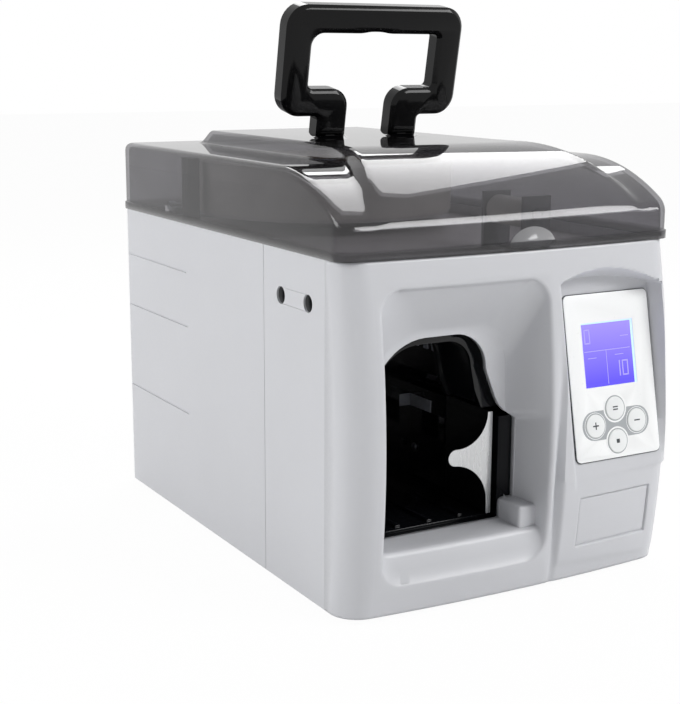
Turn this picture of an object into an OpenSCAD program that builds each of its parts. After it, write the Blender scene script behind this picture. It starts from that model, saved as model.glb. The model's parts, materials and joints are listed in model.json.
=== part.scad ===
// Banknote strapping machine: wraps a paper band round a wad of notes pushed into the front slot.
// Millimetres. X to the right, Y to the back, Z up, origin on the table under the middle of the case.

/* [Case] */
// Width of the two housings
body_w = 208; // [200:1:216]
// Depth from the proudest point of the front to the back of the lid
case_depth = 304; // [300:1:312]
// Height of the lid's rim above the table
rim_z = 185; // [183:0.5:188]
// Wall of the plastic housings
wall = 2.8; // [2.2:0.1:3.2]
// Height of the rubber feet
foot_h = 3; // [2:0.5:6]
// Radius of the front's upright bulge
bulge_r = 495; // [470:5:540]
// Height of the bulge's proudest line
bulge_z = 83; // [78:1:88]
// Rise of the front's sideways bow over the half width
bow = 4.9; // [4:0.1:6]
// Radius of the housings' upright corners
corner_r = 14; // [10:1:16]
// Place of the joint between front and rear housing
seam_y = -53; // [-56:1:-50]

/* [Note slot] */
// Left edge of the front pocket
pocket_left = -84; // [-87:1:-83]
// Right edge of the front pocket
pocket_right = 15; // [14:0.5:17]
// Top edge of the front pocket
pocket_top = 170; // [166:1:172]
// Lower edge of the front pocket
pocket_bottom = 19; // [17:1:21]
// Depth at which the pocket's back wall stands
pocket_back_y = -123; // [-124:0.5:-122]
// Left edge of the slot
slot_left = -78; // [-80:1:-76]
// Height of the table that the notes stand on
slot_floor_z = 36; // [34:0.5:38]
// Height of the slot's arched top
slot_top_z = 141; // [138:1:143]
// Depth of the slot behind the pocket
slot_depth = 90; // [84:1:96]

/* [Control panel] */
// Width of the panel plate
panel_w = 58; // [54:1:60]
// Length of the panel plate along its slope
panel_l = 90; // [86:1:92]
// Thickness of the panel plate
panel_t = 1.2; // [0.8:0.1:1.6]
// Distance of the panel's middle from the machine's middle
panel_x = 63.3; // [62:0.1:64]
// Backward lean of the panel in degrees
panel_lean = 11.5; // [10.5:0.25:12.5]
// Width of the display's window
lcd_w = 35.6; // [30:0.2:38]
// Height of the display's window
lcd_h = 35; // [30:0.5:38]
// Radius of a push button
button_r = 6.4; // [5.5:0.1:6.8]
// Travel of a push button
button_travel = 0.8; // [0.5:0.1:1.2]

/* [Lid and handle] */
// Width of the lid's rim
lid_w = 210; // [208:1:218]
// Wall of the clear lid
lid_wall = 2.5; // [2:0.1:3]
// Height of the lid's flat shoulders
lid_top_z = 227; // [226:0.5:230]
// Height of the lid's middle platform
platform_z = 235; // [234:0.5:240]
// Half the width of the platform
platform_half = 60; // [56:1:64]
// Forward lean of the handle at rest in degrees
handle_lean = 11; // [5:1:15]
// Width over the handle's grip
handle_w = 119; // [110:1:124]
// Height of the handle above its pivots
handle_h = 69; // [64:1:76]
// Thickness of the handle's bar
bar = 17; // [14:0.5:17.5]
// Distance between the middles of the handle's feet
feet_gap = 49.6; // [46:0.2:54]

/* [Paper tape] */
// Width of the paper tape
tape_w = 30; // [24:1:30]
// Radius of a full roll
roll_r = 80; // [60:1:82]
// Radius of the roll's card core
core_r = 24; // [20:1:30]
// Wall of the card core
core_wall = 3.5; // [2:0.5:5]
// Distance of the roll's middle behind the machine's middle
roll_y = 65; // [63:1:66]

/* [Banding drive] */
// Height of the camshaft
cam_z = 72; // [71:0.5:73]
// Distance of the camshaft to the right of the middle
cam_x = 84; // [83:0.5:84.5]
// Stroke of the clamp, heater and cutter slides
stroke = 8; // [6:0.5:8]
// Small radius of the cams
cam_r = 7; // [6:0.5:7]
// Teeth of the camshaft's wheel
wheel_teeth = 28; // [24:1:30]
// Teeth of the motor's pinion
pinion_teeth = 14; // [12:1:16]
// Gear module of the wheel and pinion
gear_module = 1; // [0.8:0.1:1.1]
// Travel of the tape anvil
anvil_travel = 30; // [24:1:32]
// Radius of the rubber feed roller
feed_r = 9; // [8:0.5:10]
// Radius of the pinch roller
pinch_r = 7; // [6:0.5:8]
// Height of the feed nip
nip_z = 132; // [130:1:135]
// Distance of the feed nip to the right of the middle
nip_x = 19; // [18:0.5:20]

/* [Hidden] */
$fn = 96;
fine = 90;
fit = 0.3;
bore_fit = 0.06;

front_y = -case_depth / 2;
back_y = case_depth / 2;
housing_back_y = back_y - 1;
half_w = body_w / 2;
body_z = foot_h;
bow_r = (half_w * half_w + bow * bow) / (2 * bow);
back_corner_r = 8;
front_core_r = bulge_r - case_depth * 2 / 3;
front_turn = 20;
lap_t = 1.6;
lap_l = 6;
ledge_w = 4;
ledge_t = 3;
deck_t = 3;
deck_z = rim_z - 9.3;
deck_top = deck_z + deck_t;
base_t = 2.5;
base_top = body_z + base_t;
wall_in = half_w - wall;

// Screws and their bosses
screw_r = 1.5;
head_r = 3;
head_h = 1.6;
boss_r = 5;
boss_h = 24;
boss_x = half_w - wall - boss_r + 0.5;
boss_ys = [-112, seam_y - 14, seam_y + 14, housing_back_y - wall - boss_r - 6];
foot_r = 8;
foot_x = 78;
foot_ys = [-112, 120];
side_hole_r = 4.7;
side_hole_ys = [-72.8, -102.5];
side_hole_z = 160.4;
side_well = 9;

// Slot and its black lining
slot_y = pocket_back_y + wall;
slot_back_y = slot_y + slot_depth;
arch_left_r = 32;
arch_right_r = 20;
neck_x = -8;
slot_right = pocket_right - 3;
shoulder_z = slot_top_z - 48.5;
liner_t = 2;
liner_gap = 0.4;
block_x = 3;
step_z = slot_floor_z + 11;
step_x = slot_right - 8.5;
lip_y = 8.7;
lip_z = slot_floor_z - 1.5;

// Panel frame: x across, z up the slope, y into the machine
panel_z = 69;
lcd_x = -0.8;
label_depth = 1.2;
panel_y = -150;
board_y = 10.5;
board_t = 1.6;
bed_margin = 3;
bed_r = 3;
button_spread = 14.4;
button_rise = 9;
button_mid = 17.9;
lcd_mid = 56.9;
cap_out = 0.6;
stem_r = 2.5;
button_flange_t = 1;
switch_size = 6;
switch_h = 2.6;

// Lid
lid_arc_r = 120;
lid_arc_y = -68;
lid_front_y = front_y + 10.4;
lid_back_rise = 3;
platform_back_y = 126;
platform_arc_y = -62;
platform_flare = 24;
platform_flare_y = -40;
lid_front_z = lid_top_z - lid_arc_r
    + sqrt(lid_arc_r * lid_arc_r - (lid_arc_y - lid_front_y) * (lid_arc_y - lid_front_y));
hinge_y = back_y - 3;
hinge_z = rim_z;
hinge_x = 62;
knuckle_r = 3;
knuckle_l = 12;
pin_r = 1.5;
notch_x = 8;
notch_r = 16;

// Handle
pivot_y = 21;
pivot_z = platform_z + 9.6;
foot_w = 19.4;
eye_r = 9.3;
lug_t = 6;
lug_r = 6;
lug_stem = 4.4;
lug_flange_t = 2;
lug_flange_x = 9;
lug_flange_y = 8;
slot_front = lug_r + 0.5;
handle_pin_r = 3;
grip_drop = 16;
lug_z = platform_z - lid_wall;
lug_screw_x = 6;

// Frame plates of the drive
plate_t = 2;
tape_y = -98;
frame_front_y = tape_y - 20;
frame_rear_y = tape_y + 26;
frame_left = 16;
frame_high_left = 4;
frame_right = half_w - side_well - wall - 1;
frame_top = deck_z;
frame_step_z = slot_top_z + liner_t + 3;
tie_r = 3;
tie_places = [[frame_left + 6, 20], [frame_right - 9, 20], [frame_high_left + 8, nip_z + 26],
    [frame_right - 8, nip_z + 34]];

// Slides, cams and gears
bar_w = tape_w - 0.6;
tip_x = slot_right - 3.4;
block_left = frame_left + 4;
block_right = block_left + 10;
arm_x = block_right + stroke + 2;
arm_t = 3;
tail_r = 2.5;
tail_guide_x = arm_x + arm_t + 7;
tail_guide_t = 2;
collar_x = tail_guide_x + tail_guide_t + 2 * stroke + 2;
collar_t = 2;
collar_r = 4.6;
cam_gap = 0.5;
tail_end = cam_x - cam_r - cam_gap;
cam_t = 5;
cam_step = 9;
cam_turn = 240;
cam_shaft_r = 4;
clamp_z = cam_z - 14;
cutter_z = cam_z + 13;
clamp_h = 5.4;
heater_h = 11.4;
cutter_h = 3.4;
spring_wire = 1;
spring_turns = 6;
pitch_wheel = wheel_teeth * gear_module / 2;
pitch_pinion = pinion_teeth * gear_module / 2;
gear_t = 4;
gear_y = frame_rear_y - 1.5 - gear_t;
pinion_z = cam_z - pitch_wheel - pitch_pinion - 0.1;
motor_r = 14.5;
motor_l = 54;
pinion_shaft_r = 2;

// Feed rollers
roller_gap = 0.1;
feed_x = nip_x + feed_r + roller_gap;
pinch_x = nip_x - pinch_r - roller_gap;
feed_shaft_r = 3;
pinch_shaft_r = 2.5;
feed_motor_r = 12;
feed_motor_l = 38;
arm_cheek_t = 2;
arm_cheek_r = 6;
bush_t = 1.5;

// Anvil on its rods
anvil_t = 1.5;
anvil_y = slot_y + 1.2;
anvil_z = cam_z + 0.5;
anvil_up = 23;
anvil_down = 34;
nose = 28;
anvil_arm_y = tape_y + bar_w / 2 + 3.5;
anvil_arm_t = 3;
anvil_arm_h = 10;
carriage_x = frame_left + 14;
carriage_y = frame_rear_y + 10;
carriage_l = 20;
carriage_w = 18;
carriage_h = 36;
rod_r = 2.5;
rod_spread = 12;
rod_end_y = carriage_y + carriage_l + anvil_travel + 6;

// Tape roll
roll_x = -2;
plate_r = roll_r - 1;
roll_plate_t = 2;
roll_plate_z = deck_top + 8.3;
roll_z = roll_plate_z + roll_plate_t;
spindle_r = 5;
turn_r = 8;
turn_z = deck_top + 21;
turn_x = nip_x + turn_r;

// Rear fittings
inlet_x = -62;
inlet_z = 34;
switch_x = -26;
rocker_r = 9;

// --- flat shapes ---

// Rectangle with round corners
module rounded(x0, y0, x1, y1, r) {
    translate([x0 + r, y0]) square([x1 - x0 - 2 * r, y1 - y0]);
    translate([x0, y0 + r]) square([x1 - x0, y1 - y0 - 2 * r]);
    for (x = [x0 + r, x1 - r])
        for (y = [y0 + r, y1 - r])
            translate([x, y]) circle(r);
}

// Outline in X and Z pushed along Y from y0 to y1
module along_y(y0, y1) {
    translate([0, y1, 0]) rotate([90, 0, 0]) linear_extrude(y1 - y0) children();
}

// Outline in Y and Z pushed along X from x0 to x1
module along_x(x0, x1) {
    translate([x0, 0, 0]) rotate([90, 0, 90]) linear_extrude(x1 - x0) children();
}

// Round bar along Y
module rod_y(x, z, r, y0, y1) {
    translate([x, y0, z]) rotate([-90, 0, 0]) cylinder(r = r, h = y1 - y0);
}

// Round bar along X
module rod_x(y, z, r, x0, x1) {
    translate([x0, y, z]) rotate([0, 90, 0]) cylinder(r = r, h = x1 - x0);
}

// Box between two corners
module box(a, b) {
    translate(a) cube(b - a);
}

// --- case ---

// Half section of the bulged front: radius along x, width along y
module front_section(inset) {
    w = half_w - inset;
    c = corner_r - inset;
    b = bow_r - inset;
    r0 = bulge_r - bow_r;
    xc = w - c;
    rc = r0 + sqrt((b - c) * (b - c) - xc * xc);
    xt = xc * b / (b - c);
    intersection() {
        translate([r0, 0]) circle(b, $fn = 4 * fine);
        translate([front_core_r, -xt]) square([bulge_r, 2 * xt]);
    }
    translate([front_core_r, -w]) square([rc - front_core_r, 2 * w]);
    for (s = [-1, 1])
        translate([rc, s * xc]) circle(c);
}

// Front half of the case between two heights, drawn in by inset
module front_form(inset, z0, z1, y1) {
    intersection() {
        box([-half_w - 1, front_y - 1, z0], [half_w + 1, y1, z1]);
        translate([0, front_y + bulge_r, bulge_z])
            rotate([0, 90, 0]) rotate([0, 0, -90 - front_turn])
                rotate_extrude(angle = 2 * front_turn, $fn = 4 * fine) front_section(inset);
    }
}

// Rear half of the case, drawn in by inset
module rear_form(inset, z0, z1, y0) {
    y1 = housing_back_y - inset;
    r = back_corner_r - inset;
    translate([0, 0, z0]) linear_extrude(z1 - z0) intersection() {
        rounded(-half_w + inset, y0 - 2 * back_corner_r, half_w - inset, y1, r);
        translate([-half_w, y0]) square([2 * half_w, y1 - y0]);
    }
}

// Outline of the slot in X and Z, grown by g
module slot_shape(g) {
    xl = slot_left + arch_left_r;
    xr = neck_x - arch_right_r;
    floor_z = slot_floor_z - g;
    translate([slot_left - g, floor_z])
        square([xl - slot_left + g, slot_top_z - arch_left_r - floor_z]);
    translate([xl, slot_top_z - arch_left_r]) circle(arch_left_r + g);
    translate([xl, floor_z]) square([xr - xl, slot_top_z + g - floor_z]);
    translate([xr, slot_top_z - arch_right_r]) circle(arch_right_r + g);
    translate([xr, floor_z])
        square([arch_right_r + g, slot_top_z - arch_right_r - floor_z]);
    polygon([[xr, floor_z], [slot_right + g, floor_z], [slot_right + g, shoulder_z + g],
        [slot_right - 8 + g, shoulder_z + 4 + g], [slot_right - 13 + g, shoulder_z + 11 + g],
        [slot_right - 17 + g, shoulder_z + 20 + g], [neck_x + g, shoulder_z + 29],
        [xr, shoulder_z + 29]]);
}

// Front pocket, grown by g; its floor rises from the front edge to the slot
module pocket_form(g) {
    y_lip = front_y + lip_y;
    intersection() {
        along_y(front_y - 5, pocket_back_y + g)
            rounded(pocket_left - g, pocket_bottom - g, pocket_right + g, pocket_top + g, 12 + g);
        along_x(pocket_left - g - 1, pocket_right + g + 1)
            polygon([[front_y - 5, pocket_bottom - g], [y_lip - 4.5, pocket_bottom - g],
                [y_lip, lip_z - g], [pocket_back_y + g, slot_floor_z - g],
                [pocket_back_y + g, slot_top_z + 3 + g], [y_lip - 1, pocket_top + g],
                [front_y - 5, pocket_top + g]]);
    }
}

// Everything drawn in the panel's own frame
module on_panel() {
    translate([panel_x, panel_y, panel_z]) rotate([-panel_lean, 0, 0]) children();
}

// Recess that the sloping panel lies in, with its arched scoop above, grown by g
module bed_form(g) {
    lean = tan(panel_lean);
    z_top = panel_z + (panel_l + bed_margin) * cos(panel_lean);
    z_low = panel_z - 9;
    y_at = function (z) panel_y + (panel_t + g) / cos(panel_lean) + (z - panel_z) * lean;
    half = panel_w / 2 + bed_margin + g;
    arch = 13;
    arch_radius = (half * half + arch * arch) / (2 * arch);
    intersection() {
        along_x(panel_x - half, panel_x + half)
            polygon([[front_y - 20, z_low], [y_at(z_low), z_low], [y_at(z_top), z_top + g],
                [y_at(z_top) - 11, z_top + 15 + g], [front_y - 20, z_top + 15 + g]]);
        along_y(front_y - 30, frame_front_y) union() {
            translate([panel_x - half, z_low - 1])
                square([2 * half, z_top + 3 + g - z_low]);
            intersection() {
                translate([panel_x, z_top + 2 + g + arch - arch_radius]) circle(arch_radius);
                translate([panel_x - half, z_top]) square([2 * half, 40]);
            }
        }
    }
}

// Places of the four buttons in the panel's frame
button_places = [[-0.5, button_mid + button_rise], [-0.5, button_mid - button_rise],
    [-button_spread - 0.5, button_mid + 0.8], [button_spread - 0.5, button_mid + 0.8]];

module front_housing() {
    color("gainsboro") difference() {
        union() {
            difference() {
                front_form(0, body_z, rim_z, seam_y - 0.2);
                difference() {
                    front_form(wall, body_z - 1, rim_z + 1, seam_y + 1);
                    pocket_form(wall);
                    bed_form(wall);
                    for (s = [-1, 1])
                        for (y = side_hole_ys)
                            rod_x(y, side_hole_z, side_hole_r + 2,
                                s > 0 ? half_w - side_well - wall : -half_w,
                                s > 0 ? half_w : side_well + wall - half_w);
                }
            }
            for (s = [-1, 1]) {
                xo = s * (wall_in - fit / 2);
                box([min(xo, xo - s * lap_t), seam_y - lap_l, base_top + 1],
                    [max(xo, xo - s * lap_t), seam_y + lap_l, deck_z - ledge_t - 1]);
                box([min(s * (wall_in + 1), xo), seam_y - lap_l, base_top + 1],
                    [max(s * (wall_in + 1), xo), seam_y - 0.2, deck_z - ledge_t - 1]);
                box([min(s * (wall_in + 1), s * (wall_in - ledge_w)), front_y + 35,
                    deck_z - ledge_t],
                    [max(s * (wall_in + 1), s * (wall_in - ledge_w)), seam_y - 0.2, deck_z]);
                for (y = [boss_ys[0], boss_ys[1]])
                    boss(s, y);
            }
            for (p = board_posts)
                on_panel() translate([p[0], panel_t + 0.5, p[1]]) rotate([-90, 0, 0])
                    cylinder(r = 3, h = board_y - panel_t - 0.5);
        }
        pocket_form(0);
        bed_form(0);
        along_y(pocket_back_y - 1, pocket_back_y + wall + 1) difference() {
            slot_shape(0);
            translate([step_x, slot_floor_z - 1]) square([20, step_z - slot_floor_z + 1]);
        }
        on_panel() along_y(-1, 8) {
            translate([lcd_x - lcd_w / 2 - 2, lcd_mid - lcd_h / 2 - 2])
                square([lcd_w + 4, lcd_h + 4]);
            for (p = button_places)
                translate(p) circle(button_r + 2 * fit);
        }
        for (p = board_posts)
            on_panel() translate([p[0], panel_t + 3, p[1]]) rotate([-90, 0, 0])
                cylinder(r = 1, h = 20);
        for (s = [-1, 1])
            for (y = side_hole_ys)
                rod_x(y, side_hole_z, side_hole_r, s > 0 ? half_w - side_well : -half_w - 1,
                    s > 0 ? half_w + 1 : side_well - half_w);
        label_recess();
        for (s = [-1, 1])
            for (y = [boss_ys[0], boss_ys[1]])
                translate([s * boss_x, y, body_z]) cylinder(r = screw_r, h = boss_h - 3);
        finger_notch();
    }
}

// Screw boss beside a side wall, standing on the base plate
module boss(s, y) {
    translate([s * boss_x, y, base_top]) cylinder(r = boss_r, h = boss_h);
    x0 = min(s * boss_x, s * (wall_in + 1));
    x1 = max(s * boss_x, s * (wall_in + 1));
    box([x0, y - 2, base_top], [x1, y + 2, base_top + boss_h]);
}

// Corners of the control board that rest on posts
board_posts = [for (x = [-panel_w / 2 + 4, panel_w / 2 - 4]) for (z = [4, panel_l - 4]) [x, z]];

// Shallow blank frame below the panel
module label_recess() {
    difference() {
        along_y(front_y - 5, front_y + 15) rounded(panel_x - 26, 21, panel_x + 25, 50, 1);
        front_form(label_depth, body_z, rim_z, 0);
    }
}

// Half-moon at the front rim that lets a thumb under the lid
module finger_notch() {
    box([notch_x - notch_r, front_y, rim_z - 1.2], [notch_x + notch_r, front_y + 13, rim_z + 1]);
}

module rear_housing() {
    color("gainsboro") difference() {
        union() {
            difference() {
                rear_form(0, body_z, rim_z, seam_y + 0.2);
                rear_form(wall, body_z - 1, rim_z + 1, seam_y - 1);
            }
            for (s = [-1, 1]) {
                box([min(s * (wall_in + 1), s * (wall_in - ledge_w)), seam_y + lap_l + 1,
                    deck_z - ledge_t],
                    [max(s * (wall_in + 1), s * (wall_in - ledge_w)),
                    housing_back_y - wall - 4, deck_z]);
                for (y = [boss_ys[2], boss_ys[3]])
                    boss(s, y);
            }
            box([-wall_in + 8, housing_back_y - wall - ledge_w, deck_z - ledge_t],
                [wall_in - 8, housing_back_y - 1, deck_z]);
        }
        for (s = [-1, 1]) {
            for (y = [boss_ys[2], boss_ys[3]])
                translate([s * boss_x, y, body_z]) cylinder(r = screw_r, h = boss_h - 3);
            box([s * hinge_x - knuckle_l - 2, housing_back_y - wall - 1, rim_z - knuckle_r - 1],
                [s * hinge_x + knuckle_l + 2, back_y, rim_z + 1]);
            for (z = [69, 123, 156])
                box([min(s * (half_w - 0.7), s * (half_w + 1)), seam_y + 103, z - 0.7],
                    [max(s * (half_w - 0.7), s * (half_w + 1)), back_y, z + 0.7]);
        }
        along_y(housing_back_y - wall - 1, back_y) {
            rounded(inlet_x - 14, inlet_z - 10, inlet_x + 14, inlet_z + 10, 2);
            rounded(switch_x - 7, inlet_z - 10, switch_x + 7, inlet_z + 10, 1);
            for (i = [0 : 9])
                rounded(20 + 6 * i, 50, 23 + 6 * i, 90, 1.4);
        }
    }
}

module base_plate() {
    color("silver") difference() {
        union() {
            front_form(wall + fit, body_z, base_top, 0);
            rear_form(wall + fit, body_z, base_top, -1);
        }
        for (s = [-1, 1]) {
            for (y = boss_ys)
                translate([s * boss_x, y, 0]) cylinder(r = screw_r + 0.2, h = 20);
            for (y = foot_ys)
                translate([s * foot_x, y, 0]) cylinder(r = 3 + bore_fit, h = 20);
        }
    }
}

module feet() {
    color("black")
        for (s = [-1, 1])
            for (y = foot_ys)
                translate([s * foot_x, y, 0]) {
                    cylinder(r = foot_r, h = foot_h);
                    cylinder(r = 3, h = base_top + 1.5);
                }
}

// Round-headed screw whose head lies under z = 0 and whose shank points up
module screw(l, r = screw_r) {
    difference() {
        translate([0, 0, -head_h]) cylinder(r = head_r, h = head_h);
        for (a = [0, 90])
            rotate([0, 0, a]) translate([-2, -0.4, -head_h - 0.5]) cube([4, 0.8, 1.2]);
    }
    cylinder(r = r - 0.05, h = l);
}

module base_screws() {
    color("dimgray")
        for (s = [-1, 1])
            for (y = boss_ys)
                translate([s * boss_x, y, body_z]) screw(14);
}

module side_screws() {
    color("dimgray")
        for (s = [-1, 1])
            for (y = side_hole_ys)
                translate([s * (half_w - side_well), y, side_hole_z])
                    rotate([0, s * -90, 0]) translate([0, 0, -head_h])
                        cylinder(r = head_r + 0.6, h = head_h);
}

module top_deck() {
    color("whitesmoke") difference() {
        union() {
            front_form(wall + fit, deck_z, deck_top, 0);
            rear_form(wall + fit, deck_z, deck_top, -1);
            translate([roll_x, roll_y, deck_top - 1])
                cylinder(r = 30, h = roll_plate_z - deck_top + 1 - fit);
        }
        translate([roll_x, roll_y, deck_z - 1]) cylinder(r = spindle_r, h = 30);
        bed_form(wall + fit);
        box([nip_x - 4, tape_y - tape_w / 2 - 2, deck_z - 1],
            [nip_x + 4, tape_y + tape_w / 2 + 2, deck_top + 1]);
    }
}

module slot_liner() {
    y0 = slot_y;
    color("#181a1c") difference() {
        along_y(y0, slot_back_y) slot_shape(liner_gap + liner_t);
        along_y(y0 - 1, slot_back_y - liner_t) difference() {
            slot_shape(liner_gap);
            translate([block_x, slot_floor_z - 3]) square([20, shoulder_z - slot_floor_z + 3]);
        }
        box([0, tape_y - tape_w / 2 - 1, clamp_z - clamp_h / 2 - 2],
            [30, tape_y + tape_w / 2 + 1, cutter_z + cutter_h / 2 + 2]);
        box([0, anvil_arm_y - 1, anvil_z - anvil_arm_h / 2 - 2],
            [30, anvil_arm_y + anvil_arm_t + anvil_travel + 2, anvil_z + anvil_arm_h / 2 + 2]);
    }
}

// Black arch with a groove that leads the tape over the notes
module guide_arch() {
    y0 = tape_y - tape_w / 2 - 3;
    y1 = tape_y + tape_w / 2 + 3;
    color("#202428") difference() {
        along_y(y0, y1) difference() {
            slot_shape(liner_gap - 0.05);
            slot_shape(-5);
            translate([slot_left - 5, 0])
                square([slot_right - slot_left + 20, anvil_z + anvil_up + 2]);
        }
        along_y(tape_y - tape_w / 2 - 0.3, tape_y + tape_w / 2 + 0.3) slot_shape(-3);
    }
}

// Table that the notes stand on, with two ribs
module note_table() {
    color("#202428") {
        box([slot_left + 1, slot_y + 4, slot_floor_z - liner_gap],
            [block_x - 1, slot_back_y - liner_t, slot_floor_z + 1.6]);
        for (x = [-58, -38, -18])
            box([x, slot_y + 6, slot_floor_z + 1.6], [x + 3, slot_back_y - 12, slot_floor_z + 3.2]);
    }
}

// Outline of a drive plate in X and Z
module frame_outline() {
    difference() {
        polygon([[frame_left, base_top], [frame_right, base_top], [frame_right, frame_top],
            [frame_high_left, frame_top], [frame_high_left, frame_step_z - 30],
            [frame_left, frame_step_z - 44]]);
        for (p = tie_places)
            translate(p) circle(tie_r);
        translate([cam_x, cam_z]) circle(cam_shaft_r + bush_t);
        translate([feed_x, nip_z]) circle(feed_shaft_r + bush_t);
    }
}

module frame_front() {
    color("silver") along_y(frame_front_y, frame_front_y + plate_t) frame_outline();
}

module frame_rear() {
    color("silver") difference() {
        along_y(frame_rear_y, frame_rear_y + plate_t) frame_outline();
        box([0, frame_rear_y - 1, anvil_z - anvil_arm_h / 2 - 1],
            [carriage_x + 5, frame_rear_y + plate_t + 1, anvil_z + anvil_arm_h / 2 + 1]);
        for (s = [-1, 1])
            rod_y(carriage_x, anvil_z + s * rod_spread, rod_r + 0.02, frame_rear_y - 1,
                frame_rear_y + plate_t + 1);
        rod_y(cam_x, pinion_z, pinion_shaft_r + 3, frame_rear_y - 1, frame_rear_y + 5);
    }
}

module frame_ties() {
    color("silver")
        for (p = tie_places) {
            rod_y(p[0], p[1], tie_r - 0.02, frame_front_y - 2, frame_rear_y + plate_t + 2);
            for (y = [frame_front_y - 2.4, frame_rear_y + plate_t])
                difference() {
                    translate([p[0], y, p[1]]) rotate([-90, 0, 0])
                        cylinder(r = 5.2, h = 2.4, $fn = 6);
                    rod_y(p[0], p[1], tie_r - 0.02, y - 1, y + 5);
                }
        }
}

module shaft_bushes() {
    color("goldenrod")
        for (y = [frame_front_y, frame_rear_y])
            for (b = [[cam_x, cam_z, cam_shaft_r], [feed_x, nip_z, feed_shaft_r]])
                difference() {
                    rod_y(b[0], b[1], b[2] + bush_t - 0.02, y, y + plate_t);
                    rod_y(b[0], b[1], b[2] + bore_fit, y - 1, y + plate_t + 1);
                }
}

// --- banding drive ---

// Block with three channels that the slides run in
module head_block() {
    z0 = clamp_z - clamp_h / 2 - 3;
    z1 = cutter_z + cutter_h / 2 + 4;
    y0 = frame_front_y + plate_t;
    color("slategray") difference() {
        union() {
            box([block_left, y0, z0], [block_right, anvil_arm_y - 0.5, z1]);
            box([block_left, y0, z0], [block_right, frame_rear_y, anvil_z - anvil_arm_h / 2 - 2]);
            box([block_left, y0, anvil_z + anvil_arm_h / 2 + 2], [block_right, frame_rear_y, z1]);
        }
        for (c = [[clamp_z, clamp_h], [cam_z, heater_h], [cutter_z, cutter_h]])
            box([0, tape_y - bar_w / 2 - fit, c[0] - c[1] / 2 - fit],
                [block_right + 1, tape_y + bar_w / 2 + fit, c[0] + c[1] / 2 + fit]);
    }
}

// Upright plate that carries the slides' round tails
module tail_guide() {
    color("silver") difference() {
        box([tail_guide_x, frame_front_y + plate_t, cam_z - 14],
            [tail_guide_x + tail_guide_t, frame_rear_y, cam_z + 14]);
        for (i = [-1, 0, 1])
            rod_x(tape_y + i * cam_step, cam_z, tail_r + bore_fit, 0, 90);
    }
}

// Flat bar with its cranked arm, round tail and spring collar
module slide_bar(z, h, lane, x0, x1) {
    y = tape_y + lane * cam_step;
    box([x0, tape_y - bar_w / 2, z - h / 2], [x1, tape_y + bar_w / 2, z + h / 2]);
    if (z != cam_z)
        box([arm_x, y - 4, min(z - h / 2, cam_z - 4)],
            [arm_x + arm_t, y + 4, max(z + h / 2, cam_z + 4)]);
    rod_x(y, cam_z, tail_r, z == cam_z ? x1 : arm_x + arm_t, tail_end);
    rod_x(y, cam_z, collar_r - 0.4, collar_x, collar_x + collar_t);
}

module clamp_slide() {
    color("silver") slide_bar(clamp_z, clamp_h, -1, tip_x, arm_x);
}

module heater_slide() {
    color("silver") slide_bar(cam_z, heater_h, 0, tip_x + 5, block_right + 1);
}

// Heated bar that bonds the tape's two ends
module heater_tip() {
    color("goldenrod") {
        box([tip_x, tape_y - bar_w / 2, cam_z - 4], [tip_x + 5, tape_y + bar_w / 2, cam_z + 4]);
        for (y = [-8, 8])
            rod_y(tip_x + 2.5, cam_z, 1.4, tape_y + bar_w / 2, tape_y + bar_w / 2 + 0.2);
    }
}

module cutter_slide() {
    color("silver") slide_bar(cutter_z, cutter_h, 1, tip_x + 4, arm_x);
}

// Saw-toothed blade clamped to the cutter slide's front end
module cutter_blade() {
    teeth = floor((bar_w - 2) / 2);
    w = bar_w / teeth;
    color("lightsteelblue")
        translate([0, 0, cutter_z - 0.5]) linear_extrude(1)
            polygon(concat([[tip_x + 4, tape_y + bar_w / 2], [tip_x + 4, tape_y - bar_w / 2]],
                [for (i = [0 : teeth - 1]) each [
                    [tip_x + 1.4, tape_y - bar_w / 2 + i * w],
                    [tip_x, tape_y - bar_w / 2 + (i + 0.5) * w]]],
                [[tip_x + 1.4, tape_y + bar_w / 2]]));
}

// One coil spring as an unbroken tube along X, its ends straight for one wire
function spring_point(t, turns, r, l) =
    [t * l, r * sin(360 * turns * t), r * cos(360 * turns * t)];

module spring_tube(turns, r, wire, l) {
    rings = 8 * turns;
    sides = 6;
    start = [for (i = [0 : rings]) spring_point(i / rings, turns, r, l - wire)];
    path = concat([start[0] - [0, wire, 0]], start, [start[rings] + [0, wire, 0]]);
    n = len(path);
    points = [for (i = [0 : n - 1])
        let (a = path[max(0, i - 1)], b = path[min(n - 1, i + 1)],
            d = (b - a) / norm(b - a), u0 = cross(d, [1, 0, 0]), u = u0 / norm(u0),
            v = cross(d, u))
        for (k = [0 : sides - 1])
            path[i] + wire / 2 * (cos(60 * k) * u + sin(60 * k) * v)];
    faces = concat(
        [for (i = [0 : n - 2]) for (k = [0 : sides - 1])
            let (a = i * sides + k, b = i * sides + (k + 1) % sides)
            each [[a, b, a + sides], [b, b + sides, a + sides]]],
        [for (k = [1 : sides - 2]) [0, k + 1, k]],
        [for (k = [1 : sides - 2])
            [(n - 1) * sides, (n - 1) * sides + k, (n - 1) * sides + k + 1]]);
    polyhedron(points, faces);
}

module slide_springs() {
    x0 = tail_guide_x + tail_guide_t + fit;
    l = collar_x - fit - x0 - spring_wire;
    echo(spring_gap = l / spring_turns - spring_wire);
    color("gray")
        for (i = [-1, 0, 1])
            translate([x0 + spring_wire, tape_y + i * cam_step, cam_z])
                spring_tube(spring_turns, tail_r + 0.4 + spring_wire / 2, spring_wire, l);
}

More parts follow.
